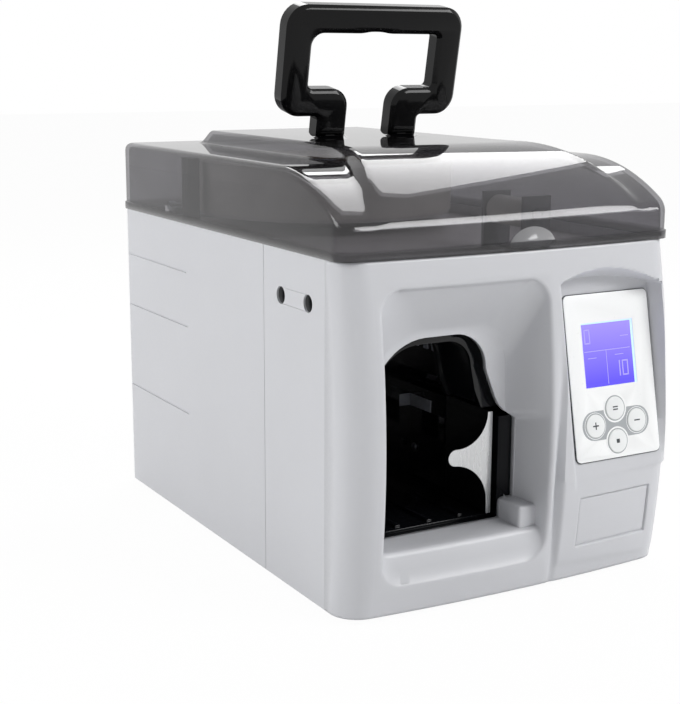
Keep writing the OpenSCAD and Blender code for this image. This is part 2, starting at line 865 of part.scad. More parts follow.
// Outline of a cam: a spiral over the working turn, a fall and a short dwell
module cam_outline() {
    fall = 80;
    radius = function (a) a <= cam_turn ? cam_r + stroke * a / cam_turn
        : a <= cam_turn + fall ? cam_r + stroke * (cam_turn + fall - a) / fall : cam_r;
    difference() {
        polygon([for (i = [0 : 71]) let (a = i * 5) radius(a) * [-cos(a), -sin(a)]]);
        circle(cam_shaft_r + 0.02);
    }
}

module cams() {
    color("ivory")
        for (i = [-1, 0, 1])
            translate([cam_x, 0, cam_z])
                along_y(tape_y + i * cam_step - cam_t / 2, tape_y + i * cam_step + cam_t / 2)
                    cam_outline();
}

module camshaft() {
    color("silver") {
        rod_y(cam_x, cam_z, cam_shaft_r, frame_front_y - 1, frame_rear_y + plate_t + 1);
        for (y = [frame_front_y - 1 - 1, frame_rear_y + plate_t + 1])
            rod_y(cam_x, cam_z, cam_shaft_r + 1.5, y, y + 1);
    }
}

// Involute of a circle of radius rb, at roll angle t in degrees
function involute(rb, t) =
    let (k = t * PI / 180) rb * [cos(t) + k * sin(t), sin(t) - k * cos(t)];

// Spur gear outline with true involute flanks
module gear_outline(teeth, bore) {
    rp = teeth * gear_module / 2;
    rb = rp * cos(20);
    ra = rp + gear_module;
    rr = rp - 1.25 * gear_module;
    pitch_roll = sqrt(rp * rp / (rb * rb) - 1) * 180 / PI;
    tip_roll = sqrt(ra * ra / (rb * rb) - 1) * 180 / PI;
    at_pitch = atan2(involute(rb, pitch_roll)[1], involute(rb, pitch_roll)[0]);
    half_tooth = 90 / teeth - 0.08 / rp * 180 / PI;
    steps = 4;
    flank = [for (i = [0 : steps]) involute(rb, tip_roll * i / steps)];
    difference() {
        union() {
            circle(rr);
            for (n = [0 : teeth - 1])
                rotate(n * 360 / teeth)
                    polygon(concat([[rr * 0.9, -1.2 * gear_module]],
                        [for (p = flank) turned([p[0], p[1]], -half_tooth - at_pitch)],
                        [for (i = [steps : -1 : 0])
                            turned([flank[i][0], -flank[i][1]], half_tooth + at_pitch)],
                        [[rr * 0.9, 1.2 * gear_module]]));
        }
        circle(bore);
    }
}

// A point turned about the origin
function turned(p, a) = [p[0] * cos(a) - p[1] * sin(a), p[0] * sin(a) + p[1] * cos(a)];

module cam_wheel() {
    color("ivory") difference() {
        translate([cam_x, 0, cam_z]) along_y(gear_y, gear_y + gear_t)
            rotate(-90) gear_outline(wheel_teeth, cam_shaft_r + 0.02);
        for (a = [45 : 90 : 359])
            rod_y(cam_x + 8.6 * cos(a), cam_z + 8.6 * sin(a), 2, gear_y - 1, gear_y + gear_t + 1);
    }
}

module motor_pinion() {
    color("goldenrod") {
        translate([cam_x, 0, pinion_z]) along_y(gear_y, gear_y + gear_t)
            rotate(90 + 180 / pinion_teeth) gear_outline(pinion_teeth, pinion_shaft_r);
        rod_y(cam_x, pinion_z, pinion_shaft_r, gear_y, frame_rear_y + plate_t + 12);
    }
}

module gear_motor() {
    y0 = frame_rear_y + plate_t;
    color("silver") difference() {
        union() {
            rod_y(cam_x, pinion_z, motor_r, y0, y0 + 18);
            rod_y(cam_x, pinion_z, motor_r - 1.5, y0 + 18, y0 + motor_l);
            rod_y(cam_x, pinion_z, 4, y0 + motor_l, y0 + motor_l + 3);
        }
        rod_y(cam_x, pinion_z, pinion_shaft_r + bore_fit, y0 - 1, y0 + 13);
    }
}

module feed_motor() {
    y0 = frame_rear_y + plate_t;
    color("silver") difference() {
        union() {
            rod_y(feed_x, nip_z, feed_motor_r, y0, y0 + feed_motor_l);
            rod_y(feed_x, nip_z, 3.5, y0 + feed_motor_l, y0 + feed_motor_l + 3);
        }
        rod_y(feed_x, nip_z, feed_shaft_r + bore_fit, y0 - 1, y0 + 13);
    }
}

module feed_roller() {
    color("#303030") {
        rod_y(feed_x, nip_z, feed_r, tape_y - tape_w / 2, tape_y + tape_w / 2);
        rod_y(feed_x, nip_z, feed_shaft_r, frame_front_y - 3, frame_rear_y + plate_t + 12);
    }
}

// Sprung arm that presses the pinch roller on the tape
module pinch_arm() {
    pivot = tie_places[2];
    y0 = tape_y - tape_w / 2 - 0.5;
    y1 = tape_y + tape_w / 2 + 0.5;
    color("#3a3f45") difference() {
        union() {
            for (y = [y0 - arm_cheek_t, y1]) {
                rod_y(pivot[0], pivot[1], arm_cheek_r, y, y + arm_cheek_t);
                rod_y(pinch_x, nip_z, arm_cheek_r - 0.5, y, y + arm_cheek_t);
                box([pinch_x - arm_cheek_r + 1, y, nip_z],
                    [pinch_x + arm_cheek_r - 1, y + arm_cheek_t, pivot[1]]);
            }
            box([pivot[0] - 5, y0 - 0.5, nip_z + pinch_r + 4],
                [pivot[0] + 5, y1 + 0.5, nip_z + pinch_r + 8]);
        }
        rod_y(pivot[0], pivot[1], tie_r + bore_fit, frame_front_y, frame_rear_y);
        rod_y(pinch_x, nip_z, pinch_shaft_r + bore_fit, frame_front_y, frame_rear_y);
    }
}

module pinch_roller() {
    color("gray") {
        rod_y(pinch_x, nip_z, pinch_r, tape_y - tape_w / 2, tape_y + tape_w / 2);
        rod_y(pinch_x, nip_z, pinch_shaft_r, tape_y - tape_w / 2 - 2.7, tape_y + tape_w / 2 + 3.5);
    }
}

// Outline of the polished anvil: an upright stem with a flared nose to the left
module anvil_outline() {
    tip_r = 4.5;
    edge = 3;
    difference() {
        translate([tip_r - nose, -anvil_down]) square([nose - tip_r, anvil_down + anvil_up]);
        for (s = [-1, 1]) {
            end = s > 0 ? anvil_up : anvil_down;
            sweep = min(end - tip_r, nose - tip_r - 1);
            translate([-edge - sweep, s * (sweep + tip_r)]) {
                circle(sweep);
                translate([-nose, s > 0 ? 0 : -end]) square([nose + sweep, end]);
            }
        }
    }
    translate([tip_r - nose, 0]) circle(tip_r);
}

module tape_anvil() {
    color("gainsboro") {
        translate([0, 0, anvil_z]) along_y(anvil_y, anvil_y + anvil_t) anvil_outline();
        box([-anvil_t, anvil_y, anvil_z - anvil_down],
            [0, anvil_arm_y + anvil_arm_t, anvil_z + anvil_up]);
        box([-anvil_t, anvil_arm_y, anvil_z - anvil_arm_h / 2],
            [carriage_x + 3, anvil_arm_y + anvil_arm_t, anvil_z + anvil_arm_h / 2]);
        box([carriage_x - 3, anvil_arm_y, anvil_z - anvil_arm_h / 2],
            [carriage_x + 3, carriage_y, anvil_z + anvil_arm_h / 2]);
    }
}

module anvil_carriage() {
    color("#3a3f45") difference() {
        box([carriage_x - carriage_w / 2, carriage_y, anvil_z - carriage_h / 2],
            [carriage_x + carriage_w / 2, carriage_y + carriage_l, anvil_z + carriage_h / 2]);
        for (s = [-1, 1])
            rod_y(carriage_x, anvil_z + s * rod_spread, rod_r + bore_fit, carriage_y - 1,
                carriage_y + carriage_l + 1);
    }
}

module anvil_rods() {
    color("silver")
        for (s = [-1, 1]) {
            rod_y(carriage_x, anvil_z + s * rod_spread, rod_r, frame_rear_y, rod_end_y + 2);
            rod_y(carriage_x, anvil_z + s * rod_spread, rod_r + 1.5,
                frame_rear_y + plate_t, frame_rear_y + plate_t + 1.5);
        }
}

module rod_bracket() {
    color("silver") difference() {
        union() {
            box([carriage_x - 10, rod_end_y - plate_t, base_top],
                [carriage_x + 10, rod_end_y, anvil_z + carriage_h / 2]);
            box([carriage_x - 10, rod_end_y - 12, base_top],
                [carriage_x + 10, rod_end_y, base_top + plate_t]);
        }
        for (s = [-1, 1])
            rod_y(carriage_x, anvil_z + s * rod_spread, rod_r + 0.02, rod_end_y - 5, rod_end_y + 1);
    }
}

// --- control panel ---

module panel_plate() {
    color("white") on_panel() along_y(0, panel_t) difference() {
        rounded(-panel_w / 2, 0, panel_w / 2, panel_l, bed_r);
        translate([-lcd_w / 2 + lcd_x, lcd_mid - lcd_h / 2]) square([lcd_w, lcd_h]);
        for (p = button_places)
            translate(p) circle(button_r + fit);
    }
}

module display_module() {
    color("slateblue") on_panel() {
        box([lcd_x - lcd_w / 2 + 0.1, 0.4, lcd_mid - lcd_h / 2 + 0.1],
            [lcd_x + lcd_w / 2 - 0.1, panel_t + 1, lcd_mid + lcd_h / 2 - 0.1]);
        box([lcd_x - lcd_w / 2 - 1.2, panel_t + 0.1, lcd_mid - lcd_h / 2 - 1.5],
            [lcd_x + lcd_w / 2 + 1.2, board_y, lcd_mid + lcd_h / 2 + 1.5]);
    }
}

module control_board() {
    color("seagreen") on_panel() {
        box([-panel_w / 2 + 0.5, board_y, 0.5], [panel_w / 2 - 0.5, board_y + board_t, panel_l - 0.5]);
        for (p = button_places) {
            box([p[0] - switch_size / 2, board_y - switch_h, p[1] - switch_size / 2],
                [p[0] + switch_size / 2, board_y, p[1] + switch_size / 2]);
            translate([p[0], board_y - switch_h - 0.6, p[1]]) rotate([-90, 0, 0])
                cylinder(r = 1.6, h = 1);
        }
    }
}

module button(i) {
    p = button_places[i];
    color("white") on_panel() translate([p[0], 0, p[1]]) rotate([-90, 0, 0]) {
        translate([0, 0, -cap_out]) cylinder(r = button_r, h = panel_t + wall + 0.4 + cap_out);
        translate([0, 0, panel_t + wall + fit])
            cylinder(r = button_r + 1.3, h = button_flange_t);
        cylinder(r = stem_r, h = board_y - switch_h - 0.6 - button_travel - 0.1);
    }
}

module button_upper() { button(0); }
module button_lower() { button(1); }
module button_left() { button(2); }
module button_right() { button(3); }

// Two small eyes in the lining's back wall that see the notes arrive
module note_sensors() {
    color("#101418")
        for (z = [cam_z - 8, cam_z + 30])
            rod_y(slot_left + 34, z, 3, slot_back_y - liner_t - 1.5, slot_back_y - liner_t);
}

// --- rear and power ---

module power_supply() {
    color("silver") {
        box([slot_left, 5, base_top], [neck_x, 105, base_top + 44]);
        for (x = [slot_left + 6, neck_x - 6])
            box([x - 6, -3, base_top], [x + 6, 5, base_top + 2]);
    }
}

module power_inlet() {
    y1 = housing_back_y;
    color("#202020") difference() {
        union() {
            along_y(y1 - 16, y1) rounded(inlet_x - 13.8, inlet_z - 9.8, inlet_x + 13.8,
                inlet_z + 9.8, 1.8);
            along_y(y1 - wall - 1.6, y1 - wall)
                rounded(inlet_x - 17, inlet_z - 13, inlet_x + 17, inlet_z + 13, 2);
        }
        along_y(y1 - 13, y1 + 1) rounded(inlet_x - 12, inlet_z - 8, inlet_x + 12, inlet_z + 8, 1);
    }
    color("silver")
        for (p = [[-7, -1.5], [0, 1.5], [7, -1.5]])
            box([inlet_x + p[0] - 1, y1 - 13.5, inlet_z + p[1] - 2.5],
                [inlet_x + p[0] + 1, y1 - 4, inlet_z + p[1] + 2.5]);
}

module switch_frame() {
    y1 = housing_back_y;
    color("#202020") difference() {
        union() {
            along_y(y1 - 18, y1) rounded(switch_x - 6.8, inlet_z - 9.8, switch_x + 6.8,
                inlet_z + 9.8, 0.8);
            along_y(y1 - wall - 1.6, y1 - wall)
                rounded(switch_x - 9, inlet_z - 12, switch_x + 9, inlet_z + 12, 1);
        }
        along_y(y1 - 15, y1 + 1) rounded(switch_x - 5.4, inlet_z - 8.6, switch_x + 5.4,
            inlet_z + 8.6, 0.5);
    }
}

// Rocker that turns about a pin line across the switch
module power_rocker() {
    y = housing_back_y - rocker_r + 0.4;
    color("#b02020") intersection() {
        rod_x(y - 1, inlet_z, rocker_r - 1.2, switch_x - 5.1, switch_x + 5.1);
        box([switch_x - 6, y - 5, inlet_z - 7.6], [switch_x + 6, housing_back_y, inlet_z + 7.6]);
    }
    color("silver") rod_x(y - 1, inlet_z, 1, switch_x - 5.4, switch_x + 5.4);
}

// --- paper roll ---

module roll_spindle() {
    color("silver") {
        translate([roll_x, roll_y, deck_z]) cylinder(r = spindle_r - 0.02, h = roll_z + tape_w - deck_z - 4);
        translate([roll_x, roll_y, roll_z + tape_w - 4]) cylinder(r = spindle_r + 3, h = 3);
    }
}

// Turning tray with the hub that the core is pushed on
module roll_plate() {
    hub_r = core_r - core_wall;
    color("whitesmoke") translate([roll_x, roll_y, 0]) difference() {
        union() {
            translate([0, 0, roll_plate_z]) cylinder(r = plate_r, h = roll_plate_t);
            translate([0, 0, roll_z]) cylinder(r = hub_r - 0.02, h = tape_w - 5);
        }
        translate([0, 0, roll_plate_z - 1]) cylinder(r = spindle_r + bore_fit, h = tape_w + 10);
        translate([0, 0, roll_z + 3]) difference() {
            cylinder(r = hub_r - 2.5, h = tape_w);
            cylinder(r = spindle_r + 3, h = tape_w);
        }
    }
}

module roll_core() {
    color("tan") translate([roll_x, roll_y, roll_z]) difference() {
        cylinder(r = core_r, h = tape_w);
        translate([0, 0, -1]) cylinder(r = core_r - core_wall, h = tape_w + 2);
    }
}

module tape_roll() {
    color("linen") translate([roll_x, roll_y, roll_z]) difference() {
        cylinder(r = roll_r, h = tape_w);
        translate([0, 0, -1]) cylinder(r = core_r + 0.02, h = tape_w + 2);
    }
}

// Bracket that turns the tape down through the deck
module twist_guide() {
    y0 = tape_y - tape_w / 2 - 4;
    y1 = tape_y + tape_w / 2 + 2;
    color("#2a2c30") {
        difference() {
            union() {
                for (y = [y0, y1])
                    box([turn_x - 9, y, deck_top], [turn_x + 9, y + 2, turn_z + turn_r + 2]);
                box([turn_x + 2, y0, deck_top], [turn_x + 16, y1 + 2, deck_top + 2]);
            }
            rod_y(turn_x, turn_z, 2, y0 - 1, y1 + 3);
        }
        rod_y(turn_x, turn_z, 1.98, y0 - 1.5, y1 + 3.5);
        for (y = [y0 - 1.5, y1 + 2])
            rod_y(turn_x, turn_z, 3.4, y, y + 1.5);
    }
}

module guide_roller() {
    y0 = tape_y - tape_w / 2 - 1.6;
    color("ivory") difference() {
        rod_y(turn_x, turn_z, turn_r, y0, y0 + tape_w + 3.2);
        rod_y(turn_x, turn_z, 2 + bore_fit, y0 - 1, y0 + tape_w + 5);
    }
}

// --- lid and handle ---

// Flat outline of the rim, drawn in by inset; its front is bowed like the case
module lid_plan(inset) {
    w = lid_w / 2 - inset;
    c = 8 - inset;
    b = bow_r - inset;
    yc = lid_front_y + bow_r;
    xc = w - c;
    yk = yc - sqrt((b - c) * (b - c) - xc * xc);
    xt = xc * b / (b - c);
    intersection() {
        translate([0, yc]) circle(b, $fn = 4 * fine);
        translate([-xt, lid_front_y]) square([2 * xt, 60]);
    }
    rounded(-w, lid_front_y + 50, w, back_y - inset, c);
    translate([-w, yk]) square([2 * w, 80]);
    for (s = [-1, 1])
        translate([s * xc, yk]) circle(c);
}

// Side outline of a part of the lid: flat top, then an arc down to the front
module lid_side(top, arc_y, arc_r, inset, y_back, y_front) {
    r = arc_r - inset;
    steps = 12;
    a_end = asin((arc_y - y_front) / r);
    polygon(concat([[y_back, rim_z - 1], [y_back, top - inset]],
        [for (i = [0 : steps]) let (a = a_end * i / steps)
            [arc_y - r * sin(a), top - arc_r + r * cos(a)]],
        [[y_front, rim_z - 1]]));
}

// Solid form of the lid, drawn in by inset
module lid_form(inset) {
    half = platform_half - inset;
    flare = half + platform_flare;
    platform_arc = platform_arc_y - lid_front_y;
    drop = platform_z - lid_front_z;
    arc_r = (platform_arc * platform_arc + drop * drop) / (2 * drop);
    intersection() {
        translate([0, 0, rim_z - (inset > 0 ? 1 : 0)])
            linear_extrude(platform_z - rim_z + 2) lid_plan(inset);
        union() {
            along_x(-lid_w, lid_w)
                lid_side(lid_top_z, lid_arc_y, lid_arc_r, inset, back_y - inset + 1,
                    lid_front_y - 2);
            intersection() {
                along_x(-lid_w, lid_w)
                    lid_side(platform_z, platform_arc_y, arc_r, inset, platform_back_y - inset,
                        lid_front_y + 1 + inset);
                translate([0, 0, rim_z - 1]) linear_extrude(platform_z)
                    polygon([[-half, back_y], [half, back_y], [half, platform_flare_y],
                        [flare, front_y + 20], [flare, front_y], [-flare, front_y],
                        [-flare, front_y + 20], [-half, platform_flare_y]]);
            }
        }
    }
}

module lid() {
    color("dimgray", 0.6) difference() {
        union() {
            difference() {
                lid_form(0);
                lid_form(lid_wall);
                box([-lid_w, back_y - 8, rim_z - 1], [lid_w, back_y + 1, rim_z + lid_back_rise]);
            }
            for (s = [-1, 1]) {
                rod_x(hinge_y, hinge_z, knuckle_r, s * hinge_x - knuckle_l / 2,
                    s * hinge_x + knuckle_l / 2);
                box([s * hinge_x - knuckle_l / 2, back_y - 2 * knuckle_r, hinge_z],
                    [s * hinge_x + knuckle_l / 2, back_y - 1, rim_z + lid_back_rise + 4]);
            }
            difference() {
                box([notch_x - notch_r - 2, lid_front_y + 0.5, rim_z],
                    [notch_x + notch_r + 2, lid_front_y + 9, rim_z + 11]);
                box([notch_x - notch_r - 3, lid_front_y - 1, rim_z - 1],
                    [notch_x + notch_r + 3, lid_front_y + 1.5, rim_z + 12]);
            }
        }
        for (s = [-1, 1]) {
            rod_x(hinge_y, hinge_z, pin_r + bore_fit, s * hinge_x - 20, s * hinge_x + 20);
            for (k = [-1, 1])
                translate([s * feet_gap / 2 + k * lug_screw_x, pivot_y, lug_z - 1])
                    cylinder(r = screw_r, h = lid_wall + 0.3);
            box([s * feet_gap / 2 - lug_t / 2 - 0.05, pivot_y - lug_stem - 0.05, lug_z - 1],
                [s * feet_gap / 2 + lug_t / 2 + 0.05, pivot_y + lug_stem + 0.05, platform_z + 1]);
        }
        intersection() {
            rod_y(notch_x, rim_z, notch_r - 5, front_y, lid_front_y + 7);
            box([-lid_w, front_y, rim_z - 1], [lid_w, back_y, rim_z + 20]);
        }
    }
}

module hinge_brackets() {
    side_l = knuckle_l / 2 + fit;
    color("silver")
        for (s = [-1, 1])
            difference() {
                union() {
                    for (k = [-1, 1]) {
                        x0 = s * hinge_x + (k > 0 ? side_l : -side_l - 5);
                        rod_x(hinge_y, hinge_z, knuckle_r - 0.2, x0, x0 + 5);
                        box([x0, hinge_y - 12, deck_top], [x0 + 5, hinge_y - 1, hinge_z - 0.5]);
                    }
                    box([s * hinge_x - side_l - 5, hinge_y - 24, deck_top],
                        [s * hinge_x + side_l + 5, hinge_y - 8, deck_top + 2]);
                }
                rod_x(hinge_y, hinge_z, pin_r, s * hinge_x - 20, s * hinge_x + 20);
            }
}

module hinge_pins() {
    l = knuckle_l / 2 + fit + 5;
    color("silver")
        for (s = [-1, 1])
            rod_x(hinge_y, hinge_z, pin_r - 0.01, s * hinge_x - l, s * hinge_x + l);
}

// Upright lugs that the handle's forked feet straddle
module handle_lugs() {
    color("#222222")
        for (s = [-1, 1])
            difference() {
                union() {
                    rod_x(pivot_y, pivot_z, lug_r, s * feet_gap / 2 - lug_t / 2,
                        s * feet_gap / 2 + lug_t / 2);
                    box([s * feet_gap / 2 - lug_t / 2, pivot_y - lug_stem, lug_z],
                        [s * feet_gap / 2 + lug_t / 2, pivot_y + lug_stem, pivot_z]);
                    box([s * feet_gap / 2 - lug_flange_x, pivot_y - lug_flange_y,
                        lug_z - lug_flange_t],
                        [s * feet_gap / 2 + lug_flange_x, pivot_y + lug_flange_y, lug_z]);
                }
                rod_x(pivot_y, pivot_z, handle_pin_r, -lid_w, lid_w);
                for (k = [-1, 1])
                    translate([s * feet_gap / 2 + k * lug_screw_x, pivot_y, lug_z - 5])
                        cylinder(r = screw_r, h = 8);
            }
}

module lug_screws() {
    color("dimgray")
        for (s = [-1, 1])
            for (k = [-1, 1])
                translate([s * feet_gap / 2 + k * lug_screw_x, pivot_y, lug_z - lug_flange_t])
                    screw(lug_flange_t + lid_wall - 0.8);
}

module handle_pins() {
    color("silver")
        for (s = [-1, 1])
            rod_x(pivot_y, pivot_z, handle_pin_r - 0.02, s * feet_gap / 2 - foot_w / 2 + 1,
                s * feet_gap / 2 + foot_w / 2 - 1);
}

// Outline of the handle in its own plane, the pivots at height 0
module handle_outline() {
    xo = handle_w / 2;
    xi = xo - bar;
    z_low = eye_r - 5;
    z_in = z_low + grip_drop;
    foot = feet_gap / 2;
    difference() {
        rounded(-xo, z_low, xo, handle_h, 13);
        rounded(-xi, z_in, xi, handle_h - bar + 1, 6);
        translate([-foot + foot_w / 2, 0]) square([2 * foot - foot_w, z_in + 6]);
    }
    for (s = [-1, 1])
        translate([s * foot - foot_w / 2, 0]) square([foot_w, z_low + 4]);
}

module handle() {
    color("#1c1c1e") translate([0, pivot_y, pivot_z]) rotate([handle_lean, 0, 0]) difference() {
        union() {
            along_y(-bar / 2, bar / 2) handle_outline();
            for (s = [-1, 1])
                rod_x(0, 0, eye_r, s * feet_gap / 2 - foot_w / 2, s * feet_gap / 2 + foot_w / 2);
        }
        for (s = [-1, 1]) {
            box([s * feet_gap / 2 - lug_t / 2 - fit, -slot_front, -20],
                [s * feet_gap / 2 + lug_t / 2 + fit, 20, lug_r + fit]);
            rod_x(0, 0, handle_pin_r + bore_fit, s * feet_gap / 2 - foot_w / 2 + 0.9,
                s * feet_gap / 2 + foot_w / 2 - 0.9);
        }
    }
}

front_housing();
rear_housing();
base_plate();
feet();
base_screws();
side_screws();
top_deck();
slot_liner();
guide_arch();
note_table();
note_sensors();
frame_front();
frame_rear();
frame_ties();
shaft_bushes();
head_block();
tail_guide();
slide_springs();
gear_motor();
feed_motor();
control_board();
display_module();
panel_plate();
power_supply();
power_inlet();
switch_frame();
roll_spindle();
twist_guide();
anvil_rods();
rod_bracket();
hinge_brackets();
hinge_pins();
lid();
handle_lugs();
lug_screws();
handle_pins();
handle();
roll_plate();
roll_core();
tape_roll();
guide_roller();
camshaft();
cams();
cam_wheel();
motor_pinion();
clamp_slide();
heater_slide();
heater_tip();
cutter_slide();
cutter_blade();
tape_anvil();
anvil_carriage();
feed_roller();
pinch_arm();
pinch_roller();
button_upper();
button_lower();
button_left();
button_right();
power_rocker();
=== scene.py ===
"""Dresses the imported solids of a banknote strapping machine: moulded shell, smoked lid, handle and panel."""

import json
import logging
import math
from dataclasses import dataclass, field
from enum import Enum
from typing import Callable

import bmesh
import bpy
from mathutils import Matrix, Vector


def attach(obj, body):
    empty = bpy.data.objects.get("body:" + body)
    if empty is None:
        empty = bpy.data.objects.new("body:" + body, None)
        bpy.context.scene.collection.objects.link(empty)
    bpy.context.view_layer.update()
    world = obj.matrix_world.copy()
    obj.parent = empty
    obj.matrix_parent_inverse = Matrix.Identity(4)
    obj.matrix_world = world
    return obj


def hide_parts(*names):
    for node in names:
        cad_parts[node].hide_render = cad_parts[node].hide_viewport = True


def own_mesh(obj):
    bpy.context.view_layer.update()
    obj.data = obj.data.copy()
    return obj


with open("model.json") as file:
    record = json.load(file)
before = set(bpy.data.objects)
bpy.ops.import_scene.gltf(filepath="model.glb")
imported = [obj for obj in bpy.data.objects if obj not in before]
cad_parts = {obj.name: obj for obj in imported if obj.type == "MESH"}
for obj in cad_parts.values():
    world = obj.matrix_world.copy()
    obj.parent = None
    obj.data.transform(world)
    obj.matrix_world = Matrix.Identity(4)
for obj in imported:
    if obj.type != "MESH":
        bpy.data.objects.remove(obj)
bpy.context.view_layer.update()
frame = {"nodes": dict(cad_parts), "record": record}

MM = 0.001
PLANE_AREA = 150.0  # faces larger than this, in square millimetres, are planes and stay flat
WELD = 0.002  # vertices nearer than this, in millimetres, become one
FLAT = 0.4  # faces that differ by less than this, in degrees, are one plane
PANEL_FOOT = (63.3, -150.0, 69.0)  # lower middle of the control panel's face, in millimetres
PANEL_LEAN = 11.5  # degrees that the panel leans back
NOISE_SPAN = {"From Min": 0.3, "From Max": 0.7}  # where nearly all values of a noise pattern lie
DRIFT_SCALE = 14.0  # slow drift of colour, in blotches of about 70 mm
GRAIN_RELIEF = 0.4  # height of a grain as a share of its width
COAT_ROUGHNESS = 0.05
GLOW_SPAN = {"From Min": 0.11, "From Max": 0.142}  # foot and head of the display, in metres
LOG = logging.getLogger("strapping_machine")
Point = tuple[float, float, float]
Outline = Callable[[float], tuple[float, float]]


# --- finishes ---


def linear(colour: str) -> tuple[float, float, float, float]:
    """Turns an sRGB hex colour to linear values.

    Args:
        colour: the colour as #rrggbb.

    Returns:
        Red, green, blue and an alpha of 1.
    """
    parts = [int(colour[i:i + 2], 16) / 255 for i in (1, 3, 5)]
    red, green, blue = (c / 12.92 if c <= 0.04045 else ((c + 0.055) / 1.055) ** 2.4 for c in parts)
    return red, green, blue, 1.0


def add(tree: bpy.types.NodeTree, kind: str, links: dict | None = None, values: dict | None = None,
        **settings: object) -> bpy.types.Node:
    """Adds a shader node with its settings, values and links.

    Args:
        tree: the material's node tree.
        kind: the node's type without its ShaderNode prefix.
        links: input names or numbers, each with the output that feeds it.
        values: input names or numbers, each with its fixed value.
        settings: the node's own properties.

    Returns:
        The new node.
    """
    node = tree.nodes.new("ShaderNode" + kind)
    for name, value in settings.items():
        setattr(node, name, value)
    for name, value in (values or {}).items():
        node.inputs[name].default_value = value
    for name, source in (links or {}).items():
        tree.links.new(source, node.inputs[name])
    return node


def blank_material(name: str) -> tuple[bpy.types.Material, bpy.types.NodeTree]:
    """Starts a material with an empty node tree.

    Args:
        name: the material's name.

    Returns:
        The material and its tree.
    """
    made = bpy.data.materials.new(name)
    made.use_nodes = True
    made.node_tree.nodes.clear()
    return made, made.node_tree


class Making(Enum):
    """How a surface was made: the stretch of its fine pattern along X, Y and Z."""

    MOULDED = (1.0, 1.0, 1.0)
    DRAWN_X = (0.05, 1.0, 1.0)
    DRAWN_Y = (1.0, 0.05, 1.0)
    DRAWN_Z = (1.0, 1.0, 0.05)
    WOUND = (0.0, 0.0, 1.0)


@dataclass(frozen=True)
class Finish:
    """A material by its real make-up: colour, gloss, fine pattern and slow drift of colour."""

    name: str
    colour: str
    roughness: float
    making: Making = Making.MOULDED
    grain_mm: float = 1.2
    bump: float = 0.05
    drift: float = 0.03
    spread: float = 0.15
    metallic: float = 0.0
    coat: float = 0.0
    ior: float = 1.5
    glow: str = ""
    glow_low: str = ""
    glow_strength: float = 0.0

    def material(self) -> bpy.types.Material:
        """Builds the material on its first call and finds it again on the next ones.

        Returns:
            The material.
        """
        made = bpy.data.materials.get(self.name)
        if made:
            return made
        made, tree = blank_material(self.name)
        place = add(tree, "TexCoord").outputs["Object"]
        stretched = add(tree, "Mapping", {"Vector": place}, {"Scale": self.making.value})
        fine = add(tree, "TexNoise", {"Vector": stretched.outputs[0]},
                   {"Scale": 1 / (self.grain_mm * MM), "Detail": 3.0})
        broad = add(tree, "TexNoise", {"Vector": place}, {"Scale": DRIFT_SCALE, "Detail": 2.0})
        tint = add(tree, "MapRange", {"Value": broad.outputs[0]},
                   {**NOISE_SPAN, "To Min": 1 - self.drift, "To Max": 1 + self.drift})
        colour = add(tree, "HueSaturation", {"Value": tint.outputs[0]}, {"Color": linear(self.colour)})
        rough = add(tree, "MapRange", {"Value": fine.outputs[0]},
                    {**NOISE_SPAN, "To Min": self.roughness * (1 - self.spread),
                     "To Max": min(1.0, self.roughness * (1 + self.spread))})
        relief = add(tree, "Bump", {"Height": fine.outputs[0]},
                     {"Strength": self.bump, "Distance": self.grain_mm * MM * GRAIN_RELIEF})
        shader = add(tree, "BsdfPrincipled",
                     {"Base Color": colour.outputs[0], "Roughness": rough.outputs[0],
                      "Normal": relief.outputs[0]},
                     {"Metallic": self.metallic, "IOR": self.ior, "Coat Weight": self.coat,
                      "Coat Roughness": COAT_ROUGHNESS})
        if self.glow:
            height = add(tree, "SeparateXYZ", {0: place})
            rise = add(tree, "MapRange", {"Value": height.outputs["Z"]}, GLOW_SPAN)
            blend = add(tree, "Mix", {"Factor": rise.outputs[0]}, data_type="RGBA")
            blend.inputs["A"].default_value = linear(self.glow_low or self.glow)
            blend.inputs["B"].default_value = linear(self.glow)
            tree.links.new(blend.outputs["Result"], shader.inputs["Emission Color"])
            shader.inputs["Emission Strength"].default_value = self.glow_strength
        add(tree, "OutputMaterial", {"Surface": shader.outputs[0]})
        return made


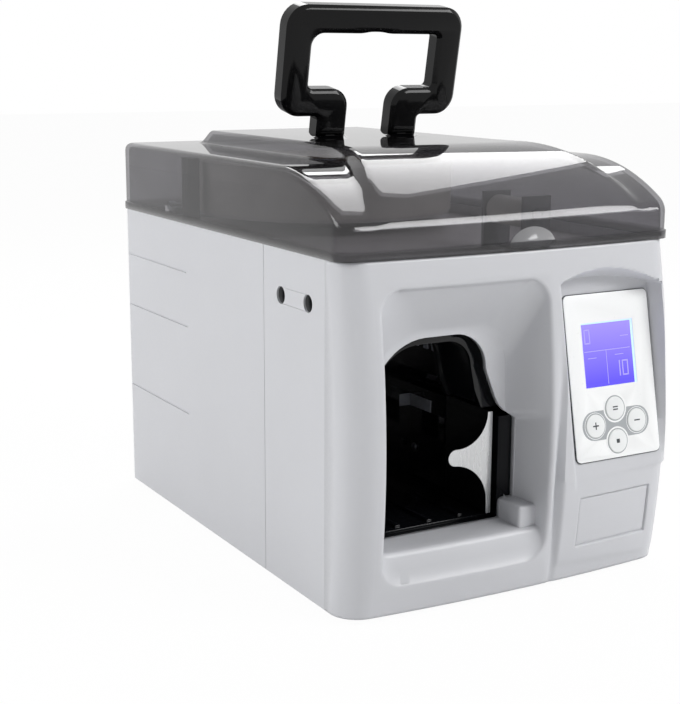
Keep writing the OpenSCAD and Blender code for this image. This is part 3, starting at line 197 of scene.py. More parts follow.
@dataclass(frozen=True)
class ClearFinish:
    """Tinted clear plastic: each face dims what is behind it and reflects the room more at a glance.

    The steeper the glance, the longer the way through the wall (dim_power, dim_least) and the
    stronger the mirror (edge_power, edge_mirror).
    """

    name: str
    tint: str
    body: str
    haze: float = 0.1
    roughness: float = 0.03
    mirror: float = 0.035
    wave_mm: float = 26.0
    stretch: Point = (1.0, 0.6, 1.0)
    dim_power: float = 2.6
    dim_least: float = 0.14
    edge_power: float = 4.6
    edge_mirror: float = 0.8

    def material(self) -> bpy.types.Material:
        """Builds the material on its first call and finds it again on the next ones.

        Returns:
            The material.
        """
        made = bpy.data.materials.get(self.name)
        if made:
            return made
        made, tree = blank_material(self.name)
        place = add(tree, "TexCoord").outputs["Object"]
        scaled = add(tree, "Mapping", {"Vector": place}, {"Scale": self.stretch})
        flow = add(tree, "TexNoise", {"Vector": scaled.outputs[0]},
                   {"Scale": 1 / (self.wave_mm * MM), "Detail": 2.0})
        level = add(tree, "MapRange", {"Value": flow.outputs[0]},
                    {**NOISE_SPAN, "To Min": 0.96, "To Max": 1.04})
        tint = add(tree, "HueSaturation", {"Value": level.outputs[0]}, {"Color": linear(self.tint)})
        rough = add(tree, "MapRange", {"Value": flow.outputs[0]},
                    {"To Min": self.roughness * 0.7, "To Max": self.roughness * 1.4})
        relief = add(tree, "Bump", {"Height": flow.outputs[0]}, {"Strength": 0.04, "Distance": 0.6 * MM})
        glance = add(tree, "LayerWeight", {"Normal": relief.outputs[0]}, {"Blend": 0.5})
        long_way = add(tree, "Math", {0: glance.outputs["Facing"]}, {1: self.dim_power},
                       operation="POWER")
        deep = add(tree, "MapRange", {"Value": long_way.outputs[0]},
                   {"To Min": 1.0, "To Max": self.dim_least})
        dimmed = add(tree, "VectorMath", {0: tint.outputs[0], "Scale": deep.outputs[0]}, operation="SCALE")
        clear = add(tree, "BsdfTransparent", {"Color": dimmed.outputs[0]})
        milky = add(tree, "BsdfDiffuse", {"Normal": relief.outputs[0]}, {"Color": linear(self.body)})
        gloss = add(tree, "BsdfGlossy", {"Roughness": rough.outputs[0], "Normal": relief.outputs[0]},
                    {"Color": (1.0, 1.0, 1.0, 1.0)})
        steep = add(tree, "Math", {0: glance.outputs["Facing"]}, {1: self.edge_power}, operation="POWER")
        edge = add(tree, "MapRange", {"Value": steep.outputs[0]},
                   {"To Min": self.mirror, "To Max": self.edge_mirror})
        inside = add(tree, "MixShader", {1: clear.outputs[0], 2: milky.outputs[0]}, {0: self.haze})
        whole = add(tree, "MixShader", {0: edge.outputs[0], 1: inside.outputs[0], 2: gloss.outputs[0]})
        add(tree, "OutputMaterial", {"Surface": whole.outputs[0]})
        return made


# ABS moulded in a fine spark texture: pale cool grey, broad soft highlights
HOUSING = Finish("spark_textured_abs", "#c8c9cd", 0.38, grain_mm=1.4, bump=0.03, drift=0.012)
# Smoked polycarbonate, polished mould: grey see-through with sharp reflections
SMOKE = ClearFinish("smoked_polycarbonate", "#d3d2d5", "#3f3e40", mirror=0.036)
# The same plastic at the rim, where its lip is thick
RIM_SMOKE = ClearFinish("smoked_polycarbonate_rim", "#a9a8ab", "#4b4a4c", haze=0.2)
# The same plastic in the thumb scoop, frosted
FROSTED = ClearFinish("frosted_polycarbonate", "#e4e4e6", "#c4c4c6", haze=0.45, roughness=0.12)
# Glossy black nylon of the handle: deep black, small bright highlights
NYLON = Finish("gloss_black_nylon", "#050506", 0.1, grain_mm=2.5, bump=0.015, ior=1.28)
# Polished black ABS lining of the slot
LINING = Finish("polished_black_abs", "#0c0d10", 0.13, grain_mm=4.0, bump=0.03, drift=0.1, ior=1.4)
# Satin black ABS of small fittings; the same black also paints the shade in the side wells and beside the roll
SATIN_BLACK_AND_SHADE = Finish("satin_black_abs", "#1b1d20", 0.38)
# Polyester film with a silver-white print
FILM = Finish("silver_white_film", "#f6f7f7", 0.32, grain_mm=1.5, bump=0.012, drift=0.01)
# Grey ink printed on the film; the same grey also paints the shade in the gap round each button
INK = Finish("grey_panel_ink", "#a6aaad", 0.4, bump=0.01)
# Dark ink of the signs; the same dark also paints the shade in the groove round the film
DARK_INK_AND_GAP_SHADE = Finish("dark_panel_ink", "#34383c", 0.45, bump=0.01)
# Grey acetal of the tape's turning guide under the lid
GUIDE = Finish("grey_acetal", "#8b8c8e", 0.35)
# Pale grey gloss ABS of the ribs and the patch in the slot: painted reflection, pale where the black lining
# shows streaks of light
GLINT_GREY = Finish("grey_gloss_abs", "#84878f", 0.14)
# Gloss ABS of the push buttons
BUTTON = Finish("gloss_white_abs", "#eceeee", 0.2, grain_mm=2.0, bump=0.015, drift=0.01)
# Liquid crystal glass lit from behind in violet blue
DISPLAY = Finish("backlit_violet_glass", "#4638c8", 0.16, grain_mm=3.0, bump=0.004, drift=0.1,
                 glow="#b6a6f4", glow_low="#5a4eea", glow_strength=0.7)
# Segments of the display, a little paler than their field
SEGMENT = Finish("lit_segment", "#8f86ee", 0.3, bump=0.004, glow="#a49af6", glow_strength=0.5)
# Edge of the display, where its lamp shines through
EDGE_LIGHT = Finish("display_edge_light", "#b9d4f4", 0.3, bump=0.004, glow="#b4d4ff", glow_strength=0.5)
# Dark steel on the anvil's flanks: painted shade, darker than its polished face
FLANK_SHADE_STEEL = Finish("blackened_steel", "#0c0d0f", 0.35, Making.DRAWN_Y, 1.0, 0.05, metallic=0.4)
# Polished steel anvil: bright with soft streaks down its length
POLISHED = Finish("polished_steel", "#cfd0d1", 0.3, Making.DRAWN_Z, 1.2, 0.06, 0.05, 0.35, 0.75)

SLOT_FINISHES = {
    "housing_plastic": HOUSING,
    # Powder coat baked on steel: even grey with a fine orange peel
    "base_steel": Finish("grey_powder_coat", "#8c8e91", 0.5, grain_mm=1.0, bump=0.15),
    # Moulded rubber: flat black that takes no highlight
    "rubber_feet": Finish("moulded_rubber", "#161616", 0.75, bump=0.2),
    # Steel screws, oiled: dark with a short streaked glint
    "screw_steel": Finish("oiled_screw_steel", "#5b5c60", 0.35, Making.DRAWN_X, 1.0, 0.05, metallic=0.9),
    # White ABS: clean and softly shaded
    "deck_plastic": Finish("white_abs", "#d2d0cc", 0.4),
    "black_plastic": LINING,
    # Dark acrylic over the sensors: a small sharp glint
    "sensor_lens": Finish("dark_acrylic_lens", "#15161b", 0.08, bump=0.01, coat=0.6),
    # Zinc plate on rolled sheet: cool bright grey with upright marks
    "frame_steel": Finish("zinc_plated_steel", "#a9adb2", 0.36, Making.DRAWN_Z, 1.0, 0.08, metallic=1.0),
    # Sintered brass: warm and slightly grainy
    "bush_brass": Finish("sintered_brass", "#b78f4c", 0.42, grain_mm=0.9, bump=0.15, metallic=1.0),
    # Milled aluminium: pale, streaked along the cut
    "block_aluminium": Finish("milled_aluminium", "#a7abb0", 0.34, Making.DRAWN_Y, 1.1, 0.12, metallic=1.0),
    # Drawn wire, oiled: a bright line along each turn
    "spring_steel": Finish("oiled_spring_wire", "#8d9095", 0.3, bump=0.05, metallic=1.0),
    # Deep-drawn steel can: smooth grey with faint lines along its length
    "motor_steel": Finish("drawn_motor_can", "#9b9fa4", 0.3, Making.DRAWN_Y, 1.0, 0.06, metallic=1.0),
    # Solder mask on a board: deep green, half gloss
    "circuit_board": Finish("green_solder_mask", "#14563a", 0.35, grain_mm=1.6, bump=0.2, drift=0.1),
    "display": DISPLAY,
    "panel_film": FILM,
    # Galvanised sheet: dull grey with broad zinc flowers
    "supply_steel": Finish("galvanised_steel", "#979b9e", 0.45, grain_mm=7.0, bump=0.06, drift=0.1,
                           metallic=0.8),
    "lid_smoke": SMOKE,
    "handle_plastic": NYLON,
    # Spiral-wound card: matt brown with fine turns
    "card_core": Finish("spiral_card", "#a98660", 0.85, Making.WOUND, 2.0, 0.2),
    # White kraft tape on its roll: chalky, with the edges of its turns
    "tape_paper": Finish("kraft_white_tape", "#dcd8cf", 0.7, Making.WOUND, 1.0, 0.15, drift=0.05),
    # Natural acetal: milky off-white with a waxy sheen
    "acetal": Finish("natural_acetal", "#e2e0d6", 0.35),
    # Ground steel: bright, with marks along the stroke
    "slide_steel": Finish("ground_steel", "#b1b4b8", 0.28, Making.DRAWN_X, 1.0, 0.08, metallic=1.0),
    # Brushed brass: warm with soft streaks
    "heater_brass": Finish("brushed_brass", "#c29a55", 0.3, Making.DRAWN_Y, 1.0, 0.1, metallic=1.0),
    "anvil_steel": POLISHED,
    "carriage_plastic": SATIN_BLACK_AND_SHADE,
    # Rubber ground to size: dull black with fine lines
    "roller_rubber": Finish("ground_roller_rubber", "#191a1b", 0.7, Making.DRAWN_Y, 1.0, 0.12),
    # Turned steel: bright with fine lines
    "roller_steel": Finish("turned_steel", "#a4a8ac", 0.28, Making.DRAWN_X, 0.9, 0.08, metallic=1.0),
    "button_plastic": BUTTON,
    # Gloss red ABS: deep colour with a clean highlight
    "rocker_plastic": Finish("gloss_red_abs", "#8e1715", 0.2, bump=0.02),
}


# --- shape tools, all in millimetres ---


def finished(bm: bmesh.types.BMesh, name: str, body: str, finish: Finish, replaces: tuple[str, ...] = (),
             sharp: float = 35.0, wall: float = 0.0) -> bpy.types.Object:
    """Turns a shape drawn in millimetres into a piece that rides on a body.

    Args:
        bm: the shape; it is freed.
        name: the piece's name.
        body: the CAD body that carries it.
        finish: its material.
        replaces: CAD nodes that it stands for.
        sharp: edges bent by more than this many degrees stay crisp.
        wall: thickness given to an open skin, inwards.

    Returns:
        The piece.
    """
    bmesh.ops.remove_doubles(bm, verts=bm.verts, dist=WELD)
    bmesh.ops.recalc_face_normals(bm, faces=bm.faces)
    for face in bm.faces:
        face.smooth = face.calc_area() < PLANE_AREA
    bmesh.ops.scale(bm, vec=(MM, MM, MM), verts=bm.verts)
    mesh = bpy.data.meshes.new(name)
    bm.to_mesh(mesh)
    bm.free()
    mesh.set_sharp_from_angle(angle=math.radians(sharp))
    piece = bpy.data.objects.new(name, mesh)
    bpy.context.scene.collection.objects.link(piece)
    mesh.materials.append(finish.material())
    if wall:
        solid = piece.modifiers.new("wall", "SOLIDIFY")
        solid.thickness = wall * MM
        solid.offset = -1.0
    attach(piece, body)
    if replaces:
        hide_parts(*replaces)
    LOG.info("%s: %d faces on %s", name, len(mesh.polygons), body)
    return piece


def cad_shape(node: str, joined: bool = True) -> bmesh.types.BMesh:
    """Copies a CAD node's mesh in millimetres.

    Args:
        node: the CAD node.
        joined: joins triangles of one plane up to one face again.

    Returns:
        The shape.
    """
    bm = bmesh.new()
    bm.from_mesh(frame["nodes"][node].data)
    bmesh.ops.scale(bm, vec=(1 / MM, 1 / MM, 1 / MM), verts=bm.verts)
    bmesh.ops.remove_doubles(bm, verts=bm.verts, dist=WELD)
    if joined:
        bmesh.ops.dissolve_limit(bm, angle_limit=math.radians(FLAT), verts=bm.verts, edges=bm.edges)
    return bm


def bevel(bm: bmesh.types.BMesh, edges: list, width: float, segments: int = 2) -> None:
    """Rounds the given edges."""
    bmesh.ops.bevel(bm, geom=edges, offset=width, offset_type="OFFSET", segments=segments, profile=0.5,
                    affect="EDGES", clamp_overlap=True, material=-1)


def vertices(made: list) -> list:
    """Vertices among the elements that an operator returns."""
    return [g for g in made if isinstance(g, bmesh.types.BMVert)]


def edges_of(verts: list) -> list:
    """Edges that end at the given vertices, each once."""
    return list({e for v in verts for e in v.link_edges})


def faces_of(verts: list) -> list:
    """Faces that touch the given vertices, each once."""
    return list({f for v in verts for f in v.link_faces})


def crisp_edges(bm: bmesh.types.BMesh, angle: float = 40.0) -> list:
    """Edges whose two faces meet at more than an angle in degrees."""
    limit = math.radians(angle)
    return [e for e in bm.edges if len(e.link_faces) == 2 and e.calc_face_angle(0.0) > limit]


def softened(node: str, body: str, finish: Finish, width: float) -> None:
    """Replaces a CAD node by the same shape with its crisp edges rounded to catch the light.

    Args:
        node: the CAD node.
        body: the CAD body that carries it.
        finish: its material.
        width: how far the rounding reaches from an edge.
    """
    bm = cad_shape(node)
    bevel(bm, crisp_edges(bm), width)
    finished(bm, "soft_" + node, body, finish, (node,))


def block(bm: bmesh.types.BMesh, low: Point, high: Point) -> list:
    """Adds a box.

    Args:
        bm: the shape that takes it.
        low: the corner with the smallest values.
        high: the corner with the largest values.

    Returns:
        The box's vertices.
    """
    middle = [(a + b) / 2 for a, b in zip(low, high)]
    size = [b - a for a, b in zip(low, high)]
    place = Matrix.Translation(middle) @ Matrix.Diagonal((*size, 1))
    return bmesh.ops.create_cube(bm, size=1.0, matrix=place)["verts"]


def hoop(bm: bmesh.types.BMesh, centre: Point, inner: float, outer: float, depth: float) -> None:
    """Adds a flat ring whose axis runs along Y.

    Args:
        bm: the shape that takes it.
        centre: middle of the ring's front.
        inner: radius of its hole.
        outer: radius of its rim.
        depth: its thickness.
    """
    made = bmesh.ops.create_grid(bm, x_segments=1, y_segments=1, size=0.5)["verts"]
    middle = Matrix.Translation((centre[0] + (inner + outer) / 2, centre[1] + depth / 2, centre[2]))
    bmesh.ops.transform(bm, matrix=middle @ Matrix.Diagonal((outer - inner, depth, 1, 1)), verts=made)
    edges = edges_of(made)
    bmesh.ops.delete(bm, geom=faces_of(made), context="FACES_ONLY")
    bmesh.ops.spin(bm, geom=[*made, *edges], cent=centre, axis=(0, 1, 0), angle=2 * math.pi, steps=56,
                   use_merge=True)


def run(*points: tuple[float, float]) -> Outline:
    """Outline along straight pieces.

    Args:
        points: its corners in order, each as x and z.

    Returns:
        A function from a fraction of the outline's length to the place there.
    """
    steps = [math.dist(a, b) for a, b in zip(points, points[1:])]
    total = sum(steps)

    def at(f: float) -> tuple[float, float]:
        """Point of the outline.

        Args:
            f: the fraction of its length.

        Returns:
            Its x and z.
        """
        left = f * total
        for step, a, b in zip(steps, points, points[1:]):
            if left <= step + 1e-9:
                k = left / step if step else 0.0
                return a[0] + (b[0] - a[0]) * k, a[1] + (b[1] - a[1]) * k
            left -= step
        return points[-1]

    return at


def traced(*points: Point) -> Outline:
    """Outline along straight pieces whose corners have set fractions.

    Args:
        points: its corners in order, each as fraction, x and z.

    Returns:
        A function from a fraction to the place there.
    """

    def at(f: float) -> tuple[float, float]:
        """Point of the outline.

        Args:
            f: the fraction.

        Returns:
            Its x and z.
        """
        for (fa, xa, za), (fb, xb, zb) in zip(points, points[1:]):
            if f <= fb:
                k = (f - fa) / (fb - fa)
                return xa + (xb - xa) * k, za + (zb - za) * k
        return points[-1][1:]

    return at


def arc(x: float, z: float, radius: float, start: float, end: float) -> Outline:
    """Outline along an arc.

    Args:
        x: place of its centre.
        z: height of its centre.
        radius: its radius.
        start: first angle in degrees.
        end: last angle in degrees.

    Returns:
        A function from a fraction of the arc to the place there.
    """

    def at(f: float) -> tuple[float, float]:
        """Point at a fraction of the arc."""
        a = math.radians(start + (end - start) * f)
        return x + radius * math.cos(a), z + radius * math.sin(a)

    return at


def smooth(a: float, b: float, x: float) -> float:
    """Soft step from 0 at a to 1 at b."""
    t = min(1.0, max(0.0, (x - a) / (b - a)))
    return t * t * (3 - 2 * t)


def soft_max(a: float, b: float, k: float) -> float:
    """Larger of two numbers, with the corner between them rounded over k."""
    h = max(k - abs(a - b), 0.0) / k
    return max(a, b) + h * h * k / 4


def spaced(*stops: tuple[float, float]) -> list[float]:
    """Places of grid lines.

    Args:
        stops: each a place and the spacing wanted from there to the next stop.

    Returns:
        The places, from the first stop to the last.
    """
    lines = [stops[0][0]]
    for (a, step), (b, _) in zip(stops, stops[1:]):
        count = max(1, round((b - a) / step))
        lines += [a + (b - a) * (i + 1) / count for i in range(count)]
    return lines


def lattice(bm: bmesh.types.BMesh, across: list[float], along: list[float],
            place: Callable[[float, float], Point]) -> None:
    """Adds a grid of faces.

    Args:
        bm: the shape that takes it.
        across: places of the lines one way.
        along: places of the lines the other way.
        place: gives a vertex's place from its two lines.
    """
    nx, ny = len(across) - 1, len(along) - 1
    made = bmesh.ops.create_grid(bm, x_segments=nx, y_segments=ny, size=1.0)
    for v in made["verts"]:
        i, j = round((v.co.x + 1) / 2 * nx), round((v.co.y + 1) / 2 * ny)
        v.co = place(across[i], along[j])


def thickened(bm: bmesh.types.BMesh, faces: list, shift: Point) -> None:
    """Extrudes faces and moves their new copies by a shift."""
    made = bmesh.ops.extrude_face_region(bm, geom=faces)["geom"]
    bmesh.ops.translate(bm, vec=shift, verts=vertices(made))


def grown(bm: bmesh.types.BMesh, edges: list, move: Callable[[Vector], Point]) -> list:
    """Extrudes open edges once and moves the new vertices.

    Args:
        bm: the shape.
        edges: the open edges.
        move: gives a vertex's new place from its old one.

    Returns:
        The new open edges.
    """
    made = bmesh.ops.extrude_edge_only(bm, edges=edges)["geom"]
    for v in vertices(made):
        v.co = move(v.co.copy())
    return [g for g in made if isinstance(g, bmesh.types.BMEdge) and g.is_boundary]


# --- case ---


@dataclass
class FrontShell:
    """Front housing: bowed face, note pocket that narrows to the slot, and the panel's scooped bed."""

    half: float = 104.0
    front: float = -152.0
    bow: float = 4.9
    bulge: float = 495.0
    bulge_z: float = 83.0
    corner: float = 14.0
    low: float = 3.0
    top: float = 185.0
    side_y: float = -120.0
    hole: tuple[float, float, float, float] = (-88.0, 19.0, 14.5, 174.0)
    reach: float = 16.0
    pocket: tuple[float, float, float, float] = (-84.0, 15.0, 19.0, 170.0)
    back_y: float = -123.0
    slot_y: float = -120.2
    rim: float = 2.2
    wall: float = 2.6
    pod_x: tuple[float, float, float, float] = (22.5, 25.0, 96.0, 103.0)
    pod_z: tuple[float, float, float, float] = (59.0, 63.0, 150.0, 172.0)
    pod_proud: float = 3.2
    pod_fade: float = 2.2
    pad_proud: float = 0.9
    groove_x: float = 21.6
    groove_deep: float = 3.8
    bed_sink: float = 1.15
    scoop_x: float = 54.0
    scoop_deep: float = 17.0
    label_sink: float = 0.9
    label_groove: float = 0.8
    keys: dict[Point, tuple[str, float]] = field(default_factory=dict)

    def face(self, x: float, z: float) -> float:
        """Depth of the plain bowed face, corners included.

        Args:
            x: place across the face.
            z: height.

        Returns:
            The place along Y.
        """
        y = self.front + 0.35 + self.bow * (x / self.half) ** 2 + (z - self.bulge_z) ** 2 / (2 * self.bulge)
        past = abs(x) - (self.half - self.corner)
        if past > 0:
            y += self.corner - math.sqrt(max(0.0, self.corner ** 2 - past ** 2))
        return y

    def pod(self, x: float, z: float) -> float:
        """Height of the panel's pod and of the pad below it over the face.

        Args:
            x: place across the face.
            z: height.

        Returns:
            How far they stand proud; less than 0 in the groove beside the pod.
        """
        left = smooth(*self.pod_x[:2], x)
        right = 1 - smooth(*self.pod_x[2:], x)
        ledge = smooth(*self.pod_z[:2], z) * (1 - smooth(*self.pod_z[2:], z))
        upper = ledge * (self.pod_proud - self.pod_fade * smooth(66.0, 130.0, z))
        slope = 0.06 * (x - 23)
        pad = self.pad_proud * smooth(10.0 - slope, 15.0 - slope, z) * (1 - smooth(60.0, 64.0, z))
        groove = (self.groove_deep * math.exp(-((x - self.groove_x) / 2.1) ** 2)
                  * math.exp(-((z - 60.0) / 42.0) ** 2))
        return left * right * (upper + pad) - groove

    def bed(self, x: float, z: float) -> float:
        """Depth of the panel's bed with its flanks and the arched scoop above it.

        Args:
            x: place across the face.
            z: height.

        Returns:
            The place along Y.
        """
        _, foot_y, foot_z = PANEL_FOOT
        plane = foot_y + self.bed_sink + (z - foot_z) * math.tan(math.radians(PANEL_LEAN))
        inner = 166.3 - 0.0035 * (x - self.scoop_x) ** 2
        outer = 173.5 - 0.0070 * (x - self.scoop_x) ** 2
        flank = max((33.0 - x) * 1.5, (x - 93.6) * 3.2, 0.0)
        scoop = self.scoop_deep * max(0.0, (z - inner) / (outer - inner))
        return plane - max(flank, scoop)

    def skin(self, x: float, z: float) -> float:
        """Depth of the finished front: face, pod, panel's bed and the sunk field for a label.

        Args:
            x: place across the face.
            z: height.

        Returns:
            The place along Y.
        """
        y = max(self.face(x, z) - self.pod(x, z), self.front + 0.05)
        if x > 19.5 and z > 55.0:
            y = soft_max(y, self.bed(x, z), 1.6)
        inside = (smooth(36.3, 36.8, x) * (1 - smooth(86.9, 87.4, x))
                  * smooth(21.5, 22.0, z) * (1 - smooth(49.0, 49.5, z)))
        edge = min(abs(x - 36.55), abs(x - 87.15)) if 21.6 < z < 49.4 else 9.0
        edge = min(edge, min(abs(z - 21.75), abs(z - 49.25)) if 36.4 < x < 87.3 else 9.0)
        return y + self.label_sink * inside + self.label_groove * math.exp(-(edge / 0.35) ** 2)

    def funnel_front(self, grow: float) -> dict[str, Outline]:
        """Rounded mouth of the pocket.

        Args:
            grow: how far it is grown outwards.

        Returns:
            Its four sides and four corners by name.
        """
        x0, x1, z0, z1 = self.pocket
        x0, x1, z0, z1, r = x0 - grow, x1 + grow, z0 - grow, z1 + grow, 12.0 + grow
        return {
            "bottom": run((x0 + r, z0), (x1 - r, z0)), "br": arc(x1 - r, z0 + r, r, -90, 0),
            "right": run((x1, z0 + r), (x1, z1 - r)), "tr": arc(x1 - r, z1 - r, r, 0, 90),
            "top": run((x1 - r, z1), (x0 + r, z1)), "tl": arc(x0 + r, z1 - r, r, 90, 180),
            "left": run((x0, z1 - r), (x0, z0 + r)), "bl": arc(x0 + r, z0 + r, r, 180, 270),
        }

    def funnel_back(self) -> dict[str, Outline]:
        """Inner end of the funnel, close round the arched slot.

        Returns:
            Its sides and corners by name.
        """
        return {
            "bottom": run((-79, 36), (3, 36)),
            "br": run((3, 36), (3.5, 36.5), (3.5, 45), (5, 47), (12.4, 47)),
            "right": traced((0, 12.4, 47), (0.52, 12.4, 91), (0.545, 5.6, 95.5), (0.6, 4.8, 102),
                            (1, 4.5, 121.5)),
            "tr": arc(-17.5, 121.5, 22, 0, 90),
            "top": run((-17.5, 143.5), (-46, 143.5)), "tl": arc(-46, 109, 34.5, 90, 180),
            "left": run((-80.5, 109), (-80.5, 38)), "bl": run((-80.5, 38), (-80.5, 36), (-79, 36)),
        }

    def slot(self) -> dict[str, Outline]:
        """The arched slot with the small step at its lower right.

        Returns:
            Its sides and corners by name.
        """
        return {
            "bottom": run((-77, 36), (2, 36)),
            "br": run((2, 36), (3.5, 36.2), (3.5, 44), (4.1, 46), (6, 47), (12, 47), (12, 48)),
            "right": traced((0, 12, 48), (0.52, 12, 91), (0.545, 10.4, 93.2), (0.58, 4.6, 96.2),
                            (0.63, 1, 100), (0.7, -1.4, 104.4), (0.85, -5, 113), (0.96, -7.4, 119),
                            (1, -8, 121)),
            "tr": arc(-28, 121, 20, 0, 90), "top": run((-28, 141), (-46, 141)),
            "tl": arc(-46, 109, 32, 90, 180), "left": run((-78, 109), (-78, 37)),
            "bl": run((-78, 37), (-78, 36), (-77, 36)),
        }

    def station(self, x: float, z: float) -> tuple[str, float]:
        """Finds where a vertex on the square hole's edge belongs on the outlines.

        Args:
            x: its place across.
            z: its height.

        Returns:
            The side or corner's name and the fraction along it.
        """
        x0, x1, z0, z1 = self.hole
        c = self.reach
        long_x, long_z = x1 - x0 - 2 * c, z1 - z0 - 2 * c
        if abs(z - z0) < 1e-3:
            if x < x0 + c:
                return "bl", 0.5 + (x - x0) / (2 * c)
            if x > x1 - c:
                return "br", (x - x1 + c) / (2 * c)
            return "bottom", (x - x0 - c) / long_x
        if abs(x - x1) < 1e-3:
            if z < z0 + c:
                return "br", 0.5 + (z - z0) / (2 * c)
            if z > z1 - c:
                return "tr", (z - z1 + c) / (2 * c)
            return "right", (z - z0 - c) / long_z
        if abs(z - z1) < 1e-3:
            if x > x1 - c:
                return "tr", 0.5 + (x1 - x) / (2 * c)
            if x < x0 + c:
                return "tl", (x0 + c - x) / (2 * c)
            return "top", (x1 - c - x) / long_x
        if z > z1 - c:
            return "tl", 0.5 + (z1 - z) / (2 * c)
        if z < z0 + c:
            return "bl", (z0 + c - z) / (2 * c)
        return "left", (z1 - c - z) / long_z

    def ring(self, bm: bmesh.types.BMesh, edges: list, place: Callable[[str, float], Point]) -> list:
        """Adds one ring of the funnel: every vertex keeps its side and fraction.

        Args:
            bm: the shape.
            edges: the open edges that it grows from.
            place: gives a vertex's place from its side and fraction.

        Returns:
            The new open edges.
        """

        def move(co: Vector) -> Point:
            """New place of one vertex, whose side and fraction are kept for the next ring.

            Args:
                co: its place on the last ring.

            Returns:
                Its place on the new ring.
            """
            side, f = self.keys.get(key(co)) or self.station(co.x, co.z)
            new = place(side, f)
            self.keys[key(Vector(new))] = (side, f)
            return new

        def key(co: Vector) -> Point:
            """Rounded place of a vertex."""
            return round(co.x, 3), round(co.y, 3), round(co.z, 3)

        return grown(bm, edges, move)

    def build(self) -> None:
        """Builds the front face, its funnel and its sides, and dresses the rest of the housing."""
        bend = [self.corner * math.sin(math.radians(a)) for a in (90, 78, 66, 54, 42, 28, 14)]
        flat = self.half - self.corner
        x0, x1, z0, z1 = self.hole
        across = [-flat - b for b in bend] + spaced(
            (-flat, 1.0), (x0, 2.6), (x1, 0.9), (35.9, 0.22), (37.2, 1.1), (86.5, 0.22), (87.8, 1.0),
            (flat, 1.0)) + [flat + b for b in reversed(bend)]
        along = spaced((self.low, 1.5), (z0, 1.5), (21.1, 0.22), (22.4, 1.5), (48.6, 0.22), (49.9, 1.3),
                       (148.0, 1.0), (z1, 1.5), (self.top, 0))
        bm = bmesh.new()
        lattice(bm, across, along, lambda x, z: (x, self.skin(x, z), z))
        gone = [f for f in bm.faces if x0 < f.calc_center_median().x < x1
                and z0 < f.calc_center_median().z < z1]
        bmesh.ops.delete(bm, geom=gone, context="FACES")
        inner = [e for e in bm.edges if e.is_boundary
                 and all(x0 - 0.1 < v.co.x < x1 + 0.1 and z0 - 0.1 < v.co.z < z1 + 0.1 for v in e.verts)]
        self.funnel(bm, inner)
        sides = [e for e in bm.edges if e.is_boundary
                 and all(abs(abs(v.co.x) - self.half) < 0.01 for v in e.verts)]
        grown(bm, sides, lambda co: (co.x, self.side_y, co.z))
        finished(bm, "front_skin", "case", HOUSING, ("front_housing",), sharp=42.0, wall=self.wall)
        self.build_back()

    def funnel(self, bm: bmesh.types.BMesh, edges: list) -> None:
        """Leads the pocket's walls from the rounded rim to the arched slot.

        Args:
            bm: the shape.
            edges: the open edges of the hole in the face.
        """
        mouth = self.funnel_front(0.0)
        back = self.funnel_back()
        floor = ((0.07, 0.42), (0.14, 0.80), (0.2, 0.93), (0.27, 0.965), (0.45, 0.975), (0.72, 0.99),
                 (0.9, 1.0), (1.0, 1.0))
        for turn in (0, 30, 60, 90):
            a = math.radians(turn)
            shape = self.funnel_front(self.rim * (1 - math.sin(a)))
            edges = self.ring(bm, edges, lambda side, f: self.rim_point(shape, side, f, a))
        for share, rise in floor:
            edges = self.ring(bm, edges, lambda side, f: self.wall_point(
                mouth[side](f), back[side](f), side, f, share, rise))
        slot = self.slot()
        for depth in (self.back_y, self.slot_y):
            edges = self.ring(bm, edges, lambda side, f: (slot[side](f)[0], depth, slot[side](f)[1]))

    def rim_point(self, shape: dict[str, Outline], side: str, f: float, a: float) -> Point:
        """Point on the pocket's rounded rim, turned inwards by an angle."""
        x, z = shape[side](f)
        return x, self.skin(x, z) + self.rim * self.rim_share(z) * (1 - math.cos(a)), z

    def wall_point(self, mouth: tuple[float, float], back: tuple[float, float], side: str, f: float,
                   share: float, rise: float) -> Point:
        """Place on the funnel's wall; its floor rises sooner than the rest.

        Args:
            mouth: x and z where the line starts, at the mouth.
            back: x and z where it ends, at the slot.
            side: name of its side or corner.
            f: fraction along that side.
            share: share of the funnel's depth.
            rise: share of the floor's rise that is reached there.

        Returns:
            The place.
        """
        ax, az = mouth
        bx, bz = back
        low = 1 - smooth(30.0, 58.0, az)
        start = self.skin(ax, az) + self.rim * self.rim_share(az)
        climb = share + (rise - share) * low
        floor = {"br": min(bz, 36.0), "right": bz - 11.0 * max(0.0, 1 - f / 0.52)}.get(side, bz)
        step = bz - floor if share > 0.999 else 0.0
        depth = start + (self.back_y - start) * share
        return ax + (bx - ax) * share, depth, az + (floor - az) * climb + step

    def rim_share(self, z: float) -> float:
        """Share of the rim's rounding: the lip at the bottom has a fine edge."""
        return 0.4 + 0.6 * smooth(22.0, 40.0, z)

    def build_back(self) -> None:
        """Keeps the CAD housing behind the skin, with its screw wells, bosses and ledges."""
        bm = cad_shape("front_housing", joined=False)
        cut = bmesh.ops.bisect_plane(bm, geom=[*bm.verts, *bm.edges, *bm.faces], plane_co=(0, self.side_y, 0),
                                     plane_no=(0, -1, 0), clear_outer=True)
        LOG.info("front housing cut in %d places", len(cut["geom_cut"]))
        finished(bm, "front_housing_back", "case", HOUSING, ("front_housing",), sharp=12.0)


